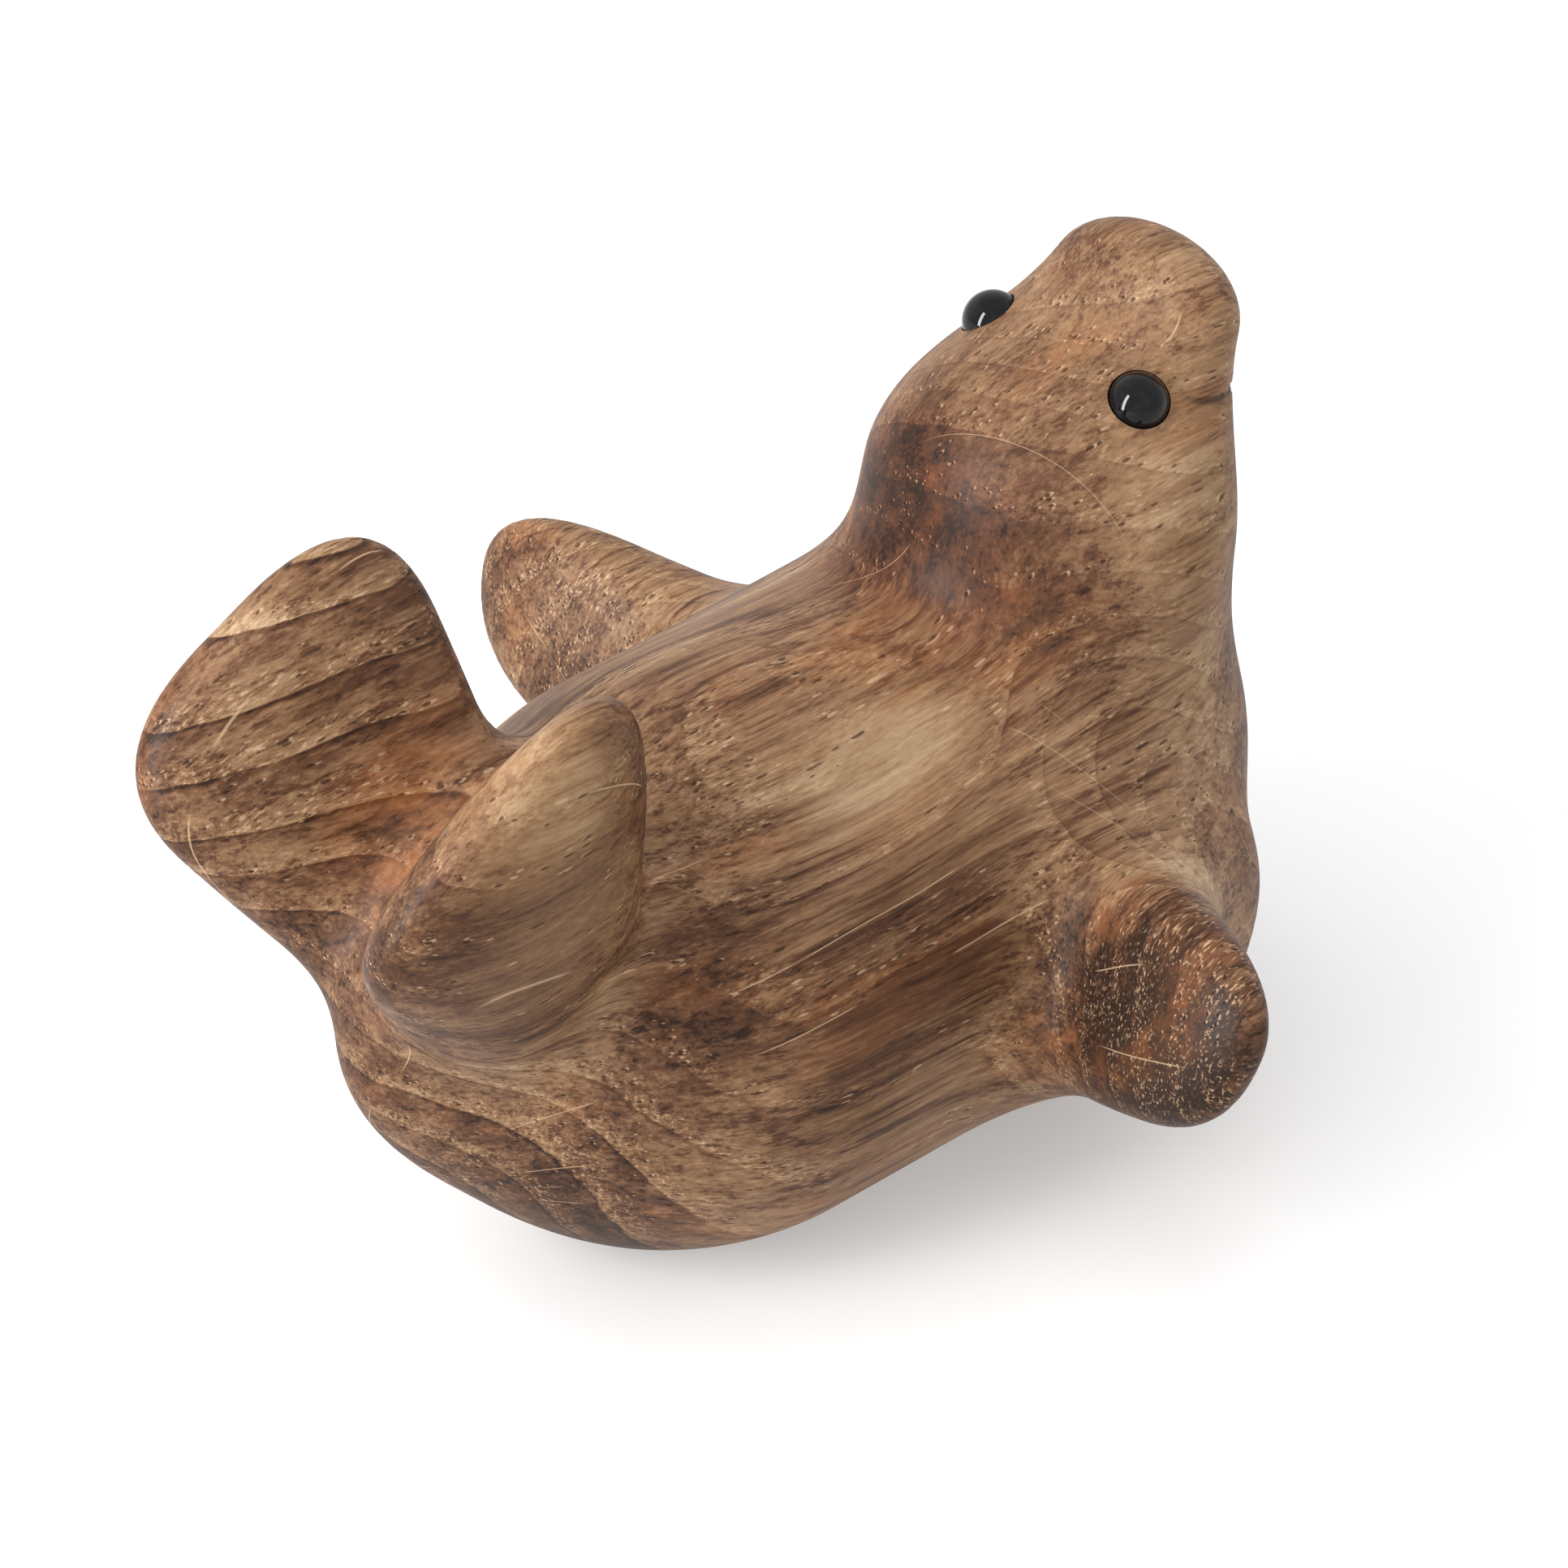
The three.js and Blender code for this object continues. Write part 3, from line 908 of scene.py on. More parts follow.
@dataclass(frozen=True)
class Tree:
    """How the block lay in the tree: rings round a pith along X, which shifts sideways in the head."""

    pith_y: float = 5.0
    pith_z: float = 14.0
    head_shift: float = 48.0
    head_span: Range = (12, 46)
    ring_width: float = 4.6
    wander: float = 9.0
    wander_scale: Point = (0.016, 0.03, 0.03)
    wander_detail: float = 1.5
    ripple: Weave = Weave((0.09, 0.3, 0.3))
    ripple_depth: float = 0.22
    drift_outwards: float = 0.13
    drift_along: float = 0.008
    drift_seed: float = 3.7
    drift_depth: float = 0.9
    end_facing: Range = (0.25, 0.95)
    swells: tuple[Patch, ...] = (Patch((2, -12, 54), (26, 14, 14), 5.0),)

    def grain(self, desk: NodeDesk) -> Grain:
        """Works out where the shaded point lies in the tree.

        Args:
            desk: The material's desk.

        Returns:
            The grain there.
        """
        place = desk.millimetres()
        x, y, z = desk.split(place)
        wandering = desk.node(
            "ShaderNodeTexNoise", {"noise_dimensions": "3D"},
            {"Vector": desk.vector_math("MULTIPLY", place, self.wander_scale), "Scale": 1,
             "Detail": self.wander_detail, "Roughness": 0.5},
        )
        centred = desk.vector_math("SUBTRACT", desk.out(wandering, "Color"), (0.5, 0.5, 0.5))
        _, wander_y, wander_z = desk.split(centred)
        across = y + wander_y * self.wander
        up = z + wander_z * self.wander + patched(desk, place, self.swells)
        tree = desk.join(x, across, up)
        from_pith_y = across - self.pith_y + desk.step(x, *self.head_span) * self.head_shift
        from_pith_z = up - self.pith_z
        radius = desk.math("SQRT", from_pith_y * from_pith_y + from_pith_z * from_pith_z)
        angle = desk.math("ARCTAN2", from_pith_y, from_pith_z)
        drift = desk.noise(desk.join(radius * self.drift_outwards, x * self.drift_along, self.drift_seed), 1)
        count = radius / self.ring_width + drift * self.drift_depth
        count = count + self.ripple.over(desk, tree) * self.ripple_depth
        facing, _, _ = desk.split(desk.out(desk.node("ShaderNodeNewGeometry"), "Normal"))
        end = desk.step(abs(facing), *self.end_facing)
        return Grain(place, tree, x, across, up, radius, angle, count.fraction(), count.whole(), end)


@dataclass(frozen=True)
class Pores:
    """Pores, crowded where a ring starts, and the torn fibres between them."""

    spacing: float = 0.56
    length: float = 5.0
    narrowest: float = 0.12
    variety: float = 0.18
    edge: Range = (0.08, -0.05)
    chance_edge: Range = (0.0, 0.06)
    # Pale rims sit this far to one side of each pore, the same side for all: pale wax, partly painted
    # highlight on one wall.
    rim_shift: float = 0.12
    bend: Weave = Weave((0.5, 0.9, 0.9))
    bend_depth: float = 0.8
    clusters: Weave = Weave((0.07, 0.2, 0.2))
    cluster_depth: float = 1.2
    start_band: Range = (0.6, 0.05)
    start_share: float = 0.62
    base_share: float = -0.06
    fibre_ends: Weave = Weave((0.6, 3.4, 2.1), 2, 0.6)
    pale_ends: Range = (0.58, 0.66)
    dark_ends: Range = (0.42, 0.34)
    torn_from: Range = (0.05, 0.55)
    porous: tuple[Patch, ...] = (
        Patch((14, -44, 34), (16, 16, 16), 0.4),
        Patch((-13, -10, 53), (6, 13, 9), 0.45),
        Patch((19, -6, 55), (9, 16, 8), 0.12),
        Patch((34, -4, 72), (14, 12, 8), 0.2),
        Patch((-42, 12, 62), (16, 14, 18), 0.12),
        Patch((-38, -8, 22), (18, 18, 16), 0.25),
        Patch((14, 42, 36), (16, 14, 14), 0.3),
    )

    def crowding(self, desk: NodeDesk, grain: Grain) -> Shade:
        """How crowded the pores are: most where a ring starts, in clusters, and in the porous zones.

        Args:
            desk: The material's desk.
            grain: Where the shaded point lies in the tree.

        Returns:
            The share of the places that hold a pore.
        """
        band = desk.step(grain.phase, *self.start_band) * self.start_share + self.base_share
        clusters = (self.clusters.over(desk, grain.tree) - 0.5) * self.cluster_depth
        return band + clusters + patched(desk, grain.place, self.porous)

    def marks(self, desk: NodeDesk, grain: Grain, crowding: Shade, shift: float) -> Shade:
        """Pores: grooves along the fibres that show as dots on end grain.

        Args:
            desk: The material's desk.
            grain: Where the shaded point lies in the tree.
            crowding: The share of the places that hold a pore.
            shift: How far the pores are moved sideways, in millimetres.

        Returns:
            1 in a pore and 0 outside.
        """
        fine = 1 / self.spacing
        bend = self.bend.over(desk, grain.tree) * self.bend_depth
        along = grain.x * (fine / self.length) + bend
        spot = desk.join(along, (grain.across + shift) * fine + bend, (grain.up - shift) * fine - bend)
        cells = desk.node(
            "ShaderNodeTexVoronoi", {"voronoi_dimensions": "3D", "feature": "F1"},
            {"Vector": spot, "Scale": 1},
        )
        chance, size, _ = desk.split(desk.out(cells, "Color"))
        width = self.narrowest + size * self.variety
        inside = desk.step(desk.out(cells, "Distance") - width, *self.edge)
        return inside * desk.step(crowding - chance, *self.chance_edge)

    def torn(self, desk: NodeDesk, grain: Grain, crowding: Shade) -> Shade:
        """Small torn fibres between the pores.

        Args:
            desk: The material's desk.
            grain: Where the shaded point lies in the tree.
            crowding: The share of the places that hold a pore.

        Returns:
            Above 0 where a fibre is pale and below 0 where it is dark.
        """
        ends = self.fibre_ends.over(desk, grain.tree)
        ends = desk.step(ends, *self.pale_ends) - desk.step(ends, *self.dark_ends)
        return ends * desk.step(crowding, *self.torn_from)


@dataclass(frozen=True)
class Rays:
    """Rays: thin bright plates that run out from the pith, each for a short way."""

    count: int = 40
    edge: Range = (0.096, 0.024)
    sway_along: float = 0.022
    sway_outwards: float = 0.03
    sway_seed: float = 9.1
    sway_depth: float = 0.1
    chosen_along: float = 0.08
    chosen_outwards: float = 0.07
    chosen_apart: float = 5.3
    chosen_from: Range = (0.58, 0.64)

    def marks(self, desk: NodeDesk, grain: Grain) -> Shade:
        """The rays that the surface cuts.

        Args:
            desk: The material's desk.
            grain: Where the shaded point lies in the tree.

        Returns:
            1 on a ray and 0 outside.
        """
        place = desk.join(grain.x * self.sway_along, grain.radius * self.sway_outwards, self.sway_seed)
        sway = desk.noise(place, 1) * self.sway_depth
        turn = (grain.angle + sway) * (self.count / math.tau)
        gap = abs(turn.fraction() - 0.5) * grain.radius * (math.tau / self.count)
        number = turn.whole() * self.chosen_apart
        place = desk.join(grain.x * self.chosen_along, grain.radius * self.chosen_outwards, number)
        return desk.step(gap, *self.edge) * desk.step(desk.noise(place, 1), *self.chosen_from)


@dataclass(frozen=True)
class Rings:
    """Growth rings: pale where a ring starts, darker towards the line that ends it."""

    variety: float = 0.08
    early: Range = (0.4, 0.02)
    early_depth: float = 0.1
    late: Range = (0.2, 1.0)
    late_depth: float = 0.08
    everywhere: float = 0.5
    line_start: float = 0.88
    line_crest: float = 0.975
    line_everywhere: float = 0.25
    line_depth: float = 0.3
    broken: Weave = Weave((0.07, 0.15, 0.15))
    broken_range: Range = (0.35, 0.6)
    unbroken_share: float = 0.3
    marked: tuple[Patch, ...] = (
        Patch((-42, 14, 64), (22, 18, 26), 0.9),
        Patch((-40, -10, 20), (20, 22, 22), 0.6),
        Patch((12, -46, 34), (16, 16, 16), 0.25),
    )

    def tone(self, desk: NodeDesk, grain: Grain) -> Shade:
        """How much paler or darker the rings make the wood.

        Args:
            desk: The material's desk.
            grain: Where the shaded point lies in the tree.

        Returns:
            A change of tone.
        """
        number = desk.node("ShaderNodeTexWhiteNoise", {"noise_dimensions": "1D"}, {"W": grain.ring})
        marked = patched(desk, grain.place, self.marked)
        kept = desk.step(self.broken.over(desk, grain.tree), *self.broken_range) * (1 - self.unbroken_share)
        crest = desk.step(grain.phase, self.line_start, self.line_crest)
        crest = crest - desk.step(grain.phase, self.line_crest, 1)
        line = crest * (self.line_everywhere + marked) * (self.unbroken_share + kept)
        early = desk.step(grain.phase, *self.early) * self.early_depth
        late = desk.step(grain.phase, *self.late) * self.late_depth
        own = (desk.out(number, "Value") - 0.5) * self.variety
        return own + (early - late) * (self.everywhere + marked) - line * self.line_depth


@dataclass(frozen=True)
class StainsAndShade:
    """Where the block is darker, paler, redder or greyer than elsewhere, and where it is even; some dark and
    red patches are painted shade.
    """

    dark: tuple[Patch, ...] = (
        Patch((-24, -19, 38), (7, 8, 9), 0.27),
        # The next three patches are painted shade, under the back of the head and on the near fore flipper
        # beside the flank; the flipper's wood is also darker.
        Patch((26, -16, 55), (9, 9, 8), 0.1),
        Patch((11, -44, 33), (13, 13, 15), 0.42),
        Patch((20, 4, 64), (9, 14, 11), 0.24),
        Patch((-36, 2, 50), (9, 12, 8), 0.1),
        Patch((-4, -26, 36), (16, 8, 9), 0.14),
        Patch((-36, -9, 12), (20, 20, 12), 0.18),
        Patch((-53, -20, 58), (8, 8, 8), 0.16),
        Patch((-46, 12, 56), (14, 12, 10), 0.08),
        Patch((30, 2, 74), (9, 12, 8), 0.08),
        Patch((-30, -8, 50), (10, 10, 8), 0.1),
    )
    pale: tuple[Patch, ...] = (
        Patch((3, -14, 51), (13, 6, 7), 0.3),
        Patch((27, -38, 37), (6, 12, 9), 0.36),
        Patch((40, -17, 60), (12, 10, 14), 0.2),
        Patch((38, -22, 42), (10, 8, 14), 0.12),
        Patch((50, -8, 78), (9, 10, 9), 0.12),
        Patch((-41, -21, 71), (9, 8, 9), 0.26),
        Patch((-40, -22, 62), (12, 8, 12), 0.12),
        Patch((13, 41, 38), (14, 12, 10), 0.1),
    )
    even: tuple[Patch, ...] = (
        Patch((38, -2, 64), (22, 24, 22), 0.35),
        Patch((20, -2, 62), (10, 16, 14), 0.12),
        Patch((-42, -23, 60), (14, 8, 20), 0.5),
        Patch((3, -14, 51), (13, 7, 8), 0.6),
    )
    torn: tuple[Patch, ...] = (
        Patch((14, -44, 34), (16, 16, 18), 0.42),
        Patch((14, 42, 36), (16, 14, 14), 0.4),
        Patch((-42, 14, 64), (20, 18, 24), 0.25),
        Patch((-30, -14, 18), (24, 20, 16), 0.25),
    )
    amber: tuple[Patch, ...] = (Patch((-37, 2, 52), (9, 12, 8), 0.4),)
    # Painted shade in the hollow of the nape, darker and redder, partly its oil-dark end grain.
    russet_nape_shade: tuple[Patch, ...] = (Patch((20, 0, 63), (9, 17, 13), 0.75),)
    olive: tuple[Patch, ...] = (
        Patch((-36, -20, 58), (16, 9, 20), 0.6),
        Patch((46, -18, 56), (14, 14, 16), 0.5),
        Patch((0, -24, 30), (30, 14, 16), 0.3),
    )
    amber_tint: Colour = srgb(150, 90, 46)
    olive_tint: Colour = srgb(116, 104, 80)
    redness: Weave = Weave((0.04, 0.12, 0.12), shift=7.0)
    amber_from: Range = (0.5, 0.75)
    amber_share: float = 0.3
    amber_most: float = 0.7
    amber_streaks: Range = (0.3, 0.65)
    olive_from: Range = (0.5, 0.28)
    olive_share: float = 0.35
    olive_most: float = 0.6

    def tinted(self, desk: NodeDesk, grain: Grain, colour: Shade, streaks: Shade) -> Shade:
        """Tints the wood with amber streaks and grey-green haze.

        Args:
            desk: The material's desk.
            grain: Where the shaded point lies in the tree.
            colour: The wood's colour.
            streaks: The broad streaks that the amber follows.

        Returns:
            The tinted colour.
        """
        redness = self.redness.over(desk, grain.tree)
        amber = desk.step(redness, *self.amber_from) * self.amber_share
        amber = desk.math("MINIMUM", amber + patched(desk, grain.place, self.amber), self.amber_most)
        amber = amber * desk.step(streaks, *self.amber_streaks)
        colour = desk.mix(amber, colour, (*self.amber_tint, 1))
        olive = desk.step(redness, *self.olive_from) * self.olive_share
        olive = desk.math("MINIMUM", olive + patched(desk, grain.place, self.olive), self.olive_most)
        return desk.mix(olive, colour, (*self.olive_tint, 1), "SOFT_LIGHT")


@dataclass(frozen=True)
class OakFinish:
    """Smoked, oiled oak."""

    tree: Tree = Tree()
    rings: Rings = Rings()
    pores: Pores = Pores()
    rays: Rays = Rays()
    stains_and_shade: StainsAndShade = StainsAndShade()
    tones: tuple[tuple[float, Colour], ...] = (
        (0.0, srgb(42, 26, 18)),
        (0.32, srgb(92, 62, 43)),
        (0.64, srgb(138, 107, 79)),
        (1.0, srgb(177, 152, 121)),
    )
    speck: Colour = srgb(198, 168, 134)
    pore: Colour = srgb(36, 22, 15)
    # The colour by which the painted shade at the nape multiplies the wood.
    russet_nape_shade: Colour = (0.84, 0.61, 0.48)
    fibres: Weave = Weave((0.09, 2.2, 2.2), 4, 0.68)
    strands: Weave = Weave((0.03, 1.2, 1.2), 3, 0.7)
    streaks: Weave = Weave((0.03, 0.42, 0.42), 3, 0.62)
    clouds: Weave = Weave((0.05, 0.07, 0.07))
    grit: Weave = Weave((0.8, 3.4, 3.4), 2, 0.6)
    middle_tone: float = 0.5
    fibre_depth: float = 0.75
    streak_depth: float = 0.85
    torn_depth: float = 0.2
    cloud_depth: float = 0.5
    grit_depth: float = 0.35
    end_depth: float = 0.14
    pale_strands: Range = (0.45, 0.36)
    pale_strand_depth: float = 0.09
    dark_strands: Range = (0.55, 0.61)
    dark_strand_depth: float = 0.2
    ray_cover: float = 0.5
    pore_cover: float = 0.7
    rim_cover: float = 0.42
    # Painted shade in the mouth's groove: where its dark line lies, how it fades in and how strongly it
    # covers the wood.
    mouth_x: float = 42.9
    mouth_height: float = 73.1
    mouth_fall: float = 0.27
    mouth_edge: Range = (0.5, 0.12)
    mouth_fade: float = 2.5
    mouth_shade_cover: float = 0.75
    bump_strength: float = 0.4
    bump_height: float = 0.00025
    fibre_relief: float = 0.3
    grit_relief: float = 0.15
    roughness: float = 0.5
    roughness_range: float = 0.2
    ray_polish: float = 0.1
    ior: float = 1.45
    shine: float = 0.18

    def _mouth_shade(self, desk: NodeDesk, grain: Grain) -> Shade:
        """Painted shade along the mouth's groove: a dark line.

        Args:
            desk: The material's desk.
            grain: Where the shaded point lies in the tree.

        Returns:
            1 on the line and 0 outside.
        """
        _, _, height = desk.split(grain.place)
        off_line = abs(height - self.mouth_height + (grain.x - self.mouth_x) * self.mouth_fall)
        from_corner = desk.step(grain.x, self.mouth_x, self.mouth_x + self.mouth_fade)
        return desk.step(off_line, *self.mouth_edge) * from_corner

    def material(self) -> bpy.types.Material:
        """Builds the material.

        Returns:
            The material.
        """
        desk = NodeDesk("oiled_oak")
        grain = self.tree.grain(desk)
        weaves = (self.fibres, self.strands, self.streaks, self.clouds, self.grit)
        fibres, strands, streaks, clouds, grit = (weave.over(desk, grain.tree) for weave in weaves)
        crowding = self.pores.crowding(desk, grain)
        pores = self.pores.marks(desk, grain, crowding, 0)
        # Pale rims beside the pores, all to one side: pale wax, partly painted highlight
        rims = self.pores.marks(desk, grain, crowding, self.pores.rim_shift) * (1 - pores)
        torn = self.pores.torn(desk, grain, crowding)
        rays = self.rays.marks(desk, grain)

        # Tone: how pale the wood is, from 0 to 1
        pale_strands = desk.step(strands, *self.pale_strands) * self.pale_strand_depth
        dark_strands = desk.step(strands, *self.dark_strands) * self.dark_strand_depth
        lively = (fibres - 0.5) * self.fibre_depth + pale_strands - dark_strands
        lively = lively + (streaks - 0.5) * self.streak_depth + torn * self.torn_depth
        lively = lively + self.rings.tone(desk, grain)
        tone = self.middle_tone + lively * (1 - patched(desk, grain.place, self.stains_and_shade.even))
        tone = tone + (clouds - 0.5) * self.cloud_depth + (grit - 0.5) * self.grit_depth
        # Dark patches: stain, with painted shade at the nape and on the near fore flipper
        tone = tone - grain.end * self.end_depth - patched(desk, grain.place, self.stains_and_shade.dark)
        tone = tone + patched(desk, grain.place, self.stains_and_shade.pale)

        # Colour: tinted wood, then what lies on it
        colour = self.stains_and_shade.tinted(desk, grain, desk.ramp(tone, self.tones), streaks)
        colour = desk.mix(rays * self.ray_cover, colour, (*self.speck, 1))
        colour = desk.mix(pores * self.pore_cover, colour, (*self.pore, 1))
        colour = desk.mix(rims * self.rim_cover, colour, (*self.speck, 1))
        pale_ends = desk.math("MAXIMUM", torn, 0) * patched(desk, grain.place, self.stains_and_shade.torn)
        colour = desk.mix(pale_ends, colour, (*self.speck, 1))
        # Painted shade at the nape: the wood made darker and redder
        russet_nape_shade = patched(desk, grain.place, self.stains_and_shade.russet_nape_shade)
        colour = desk.mix(russet_nape_shade, colour, (*self.russet_nape_shade, 1), "MULTIPLY")
        # Painted shade along the mouth's groove
        colour = desk.mix(self._mouth_shade(desk, grain) * self.mouth_shade_cover, colour, (*self.pore, 1))

        relief = fibres * self.fibre_relief + grit * self.grit_relief - pores
        bump = desk.node(
            "ShaderNodeBump",
            inputs={"Strength": self.bump_strength, "Distance": self.bump_height, "Height": relief},
        )
        rough = self.roughness + (pores + fibres - 0.5) * self.roughness_range - rays * self.ray_polish
        return desk.finish(
            Base_Color=colour, Roughness=rough, Normal=desk.out(bump),
            IOR=self.ior, Specular_IOR_Level=self.shine,
        )


@dataclass(frozen=True)
class GlassFinish:
    """Black glass: deep and polished, with the faintest dust in its shine."""

    base: Colour = srgb(8, 8, 10)
    haze: Colour = srgb(18, 20, 22)
    swirl_scale: float = 0.7
    swirl_edge: Range = (0.45, 0.7)
    dust_scale: float = 4.0
    dust_edge: Range = (0.6, 0.75)
    dust_roughness: float = 0.06
    roughness: float = 0.05
    ior: float = 1.4
    shine: float = 0.36

    def material(self) -> bpy.types.Material:
        """Builds the material.

        Returns:
            The material.
        """
        desk = NodeDesk("black_glass")
        place = desk.millimetres()
        swirl = desk.noise(desk.vector_math("SCALE", place, scale=self.swirl_scale), 2)
        dust = desk.noise(desk.vector_math("SCALE", place, scale=self.dust_scale), 3)
        colour = desk.mix(desk.step(swirl, *self.swirl_edge), (*self.base, 1), (*self.haze, 1))
        rough = self.roughness + desk.step(dust, *self.dust_edge) * self.dust_roughness
        return desk.finish(Base_Color=colour, Roughness=rough, IOR=self.ior, Specular_IOR_Level=self.shine)


@dataclass(frozen=True)
class SteelFinish:
    """Drawn steel wire, with fine lines along its length."""

    base: Colour = srgb(150, 150, 152)
    bright: Colour = srgb(196, 196, 198)
    line_scale: Point = (9, 9, 1.2)
    roughness: float = 0.35
    roughness_range: float = 0.2

    def material(self) -> bpy.types.Material:
        """Builds the material.

        Returns:
            The material.
        """
        desk = NodeDesk("steel_wire")
        lines = desk.noise(desk.vector_math("MULTIPLY", desk.millimetres(), self.line_scale), 3)
        colour = desk.mix(lines, (*self.base, 1), (*self.bright, 1))
        rough = self.roughness + (lines - 0.5) * self.roughness_range
        return desk.finish(Base_Color=colour, Metallic=1.0, Roughness=rough)


@dataclass(frozen=True)
class FloorFinish:
    """Matt white paper that glows a little, so that shadows on it stay pale."""

    paper: Colour = (0.55, 0.55, 0.55)
    shade: Colour = (0.53, 0.53, 0.53)
    mottle_scale: float = 0.003
    roughness: float = 0.9
    shine: float = 0.1
    glow: float = 0.34

    def material(self) -> bpy.types.Material:
        """Builds the material.

        Returns:
            The material.
        """
        desk = NodeDesk("white_paper")
        mottle = desk.noise(desk.vector_math("SCALE", desk.millimetres(), scale=self.mottle_scale), 2)
        colour = desk.mix(mottle, (*self.paper, 1), (*self.shade, 1))
        return desk.finish(
            Base_Color=colour, Roughness=self.roughness, Specular_IOR_Level=self.shine,
            Emission_Color=(1, 1, 1, 1), Emission_Strength=self.glow,
        )


def mesh_object(name: str, points: Numbers, faces: Sequence[Sequence[int]]) -> bpy.types.Object:
    """Makes a smooth-shaded mesh object.

    Args:
        name: The object's name.
        points: Its points in metres, one per row.
        faces: Its faces as point numbers.

    Returns:
        The object, linked to the scene.
    """
    mesh = bpy.data.meshes.new(name)
    mesh.from_pydata([tuple(p) for p in points], [], [tuple(int(n) for n in f) for f in faces])
    mesh.validate()
    mesh.shade_smooth()
    made = bpy.data.objects.new(name, mesh)
    bpy.context.scene.collection.objects.link(made)
    return made


def turned(
    profile: Sequence[Range], seat: Matrix, segments: int
) -> tuple[Numbers, list[tuple[int, ...]]]:
    """Points and faces of a turned solid whose profile starts and ends on its axis.

    Args:
        profile: Radius and height of each step, from the bottom up.
        seat: Where the solid goes, with its axis along the matrix's Z.
        segments: Faces round the axis.

    Returns:
        The points in the part's frame, and the faces as point numbers.
    """
    points: list[Vector] = []
    rings: list[list[int]] = []
    for radius, height in profile:
        if radius < TINY:
            rings.append([len(points)] * segments)
            points.append(seat @ Vector((0, 0, height)))
            continue
        rings.append(list(range(len(points), len(points) + segments)))
        for n in range(segments):
            turn = math.tau * n / segments
            points.append(seat @ Vector((radius * math.cos(turn), radius * math.sin(turn), height)))
    faces: list[tuple[int, ...]] = []
    for low, high in zip(rings, rings[1:]):
        for n in range(segments):
            m = (n + 1) % segments
            face = list(dict.fromkeys((low[n], low[m], high[m], high[n])))
            if len(face) > 2:
                faces.append(tuple(face))
    return np.array([tuple(p) for p in points]), faces


@dataclass
class Eye:
    """One black glass bead on its pin, seated in the head."""

    side: Side
    bead_hole: float = 0.001
    socket_gap: float = 0.00012
    pin_hole_depth: float = 0.0065
    bore_end_share: float = 1 / 3
    segments: int = 64
    arc_steps: int = 40

    @property
    def word(self) -> str:
        """The side's name, as in the names of the nodes."""
        return self.side.name.lower()

    def _box_middle(self, node: str) -> Vector:
        """The middle of a node's box."""
        low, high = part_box(node)
        return (low + high) / 2

    @property
    def radius(self) -> float:
        """The bead's radius, from its node."""
        low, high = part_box(f"{self.word}_eye_bead")
        return max(high - low) / 2

    def seat(self) -> Matrix:
        """Finds the bead's place from its node and its pin's.

        Returns:
            The bead's centre, with Z pointing out of the head along the pin.
        """
        centre = self._box_middle(f"{self.word}_eye_bead")
        outward = (centre - self._box_middle(f"{self.word}_eye_pin")).normalized()
        return Matrix.Translation(centre) @ outward.to_track_quat("Z", "Y").to_matrix().to_4x4()

    def _bored_ball(self, radius: float, hole_end: float) -> list[Range]:
        """Lays out a ball with a round hole, or a round stalk, at its bottom.

        Args:
            radius: The ball's radius.
            hole_end: The height at which the hole or the stalk ends.

        Returns:
            Radius and height of each step of its profile.
        """
        start = math.asin(self.bead_hole / radius)
        profile = [(0.0, hole_end), (self.bead_hole, hole_end)]
        for n in range(self.arc_steps):
            turn = start + (math.pi - start) * n / self.arc_steps
            profile.append((radius * math.sin(turn), -radius * math.cos(turn)))
        return [*profile, (0.0, radius)]

    def socket_cutter(self) -> bpy.types.Object:
        """Builds the solid that hollows the bead's socket and the pin's hole out of the head.

        Returns:
            The cutter.
        """
        profile = self._bored_ball(self.radius + self.socket_gap, -self.radius - self.pin_hole_depth)
        points, faces = turned(profile, self.seat(), self.segments)
        return mesh_object(f"{self.word}_socket_cutter", points, faces)

    def bead(self, finish: GlassFinish) -> bpy.types.Object:
        """Builds the bead, bored from below for its pin.

        Args:
            finish: The bead's finish.

        Returns:
            The bead.
        """
        profile = self._bored_ball(self.radius, -self.radius * self.bore_end_share)
        points, faces = turned(profile, self.seat(), self.segments)
        made = mesh_object(f"{self.word}_glass_eye", points, faces)
        made.data.materials.append(finish.material())
        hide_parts(f"{self.word}_eye_bead")
        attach(made, "root")
        return made

    def dress_pin(self, nodes: Mapping[str, bpy.types.Object], finish: SteelFinish) -> None:
        """Gives the pin that the bead sits on its finish.

        Args:
            nodes: The part's nodes, by name.
            finish: The pin's finish.
        """
        pin = nodes[f"{self.word}_eye_pin"]
        pin.data.materials.clear()
        pin.data.materials.append(finish.material())


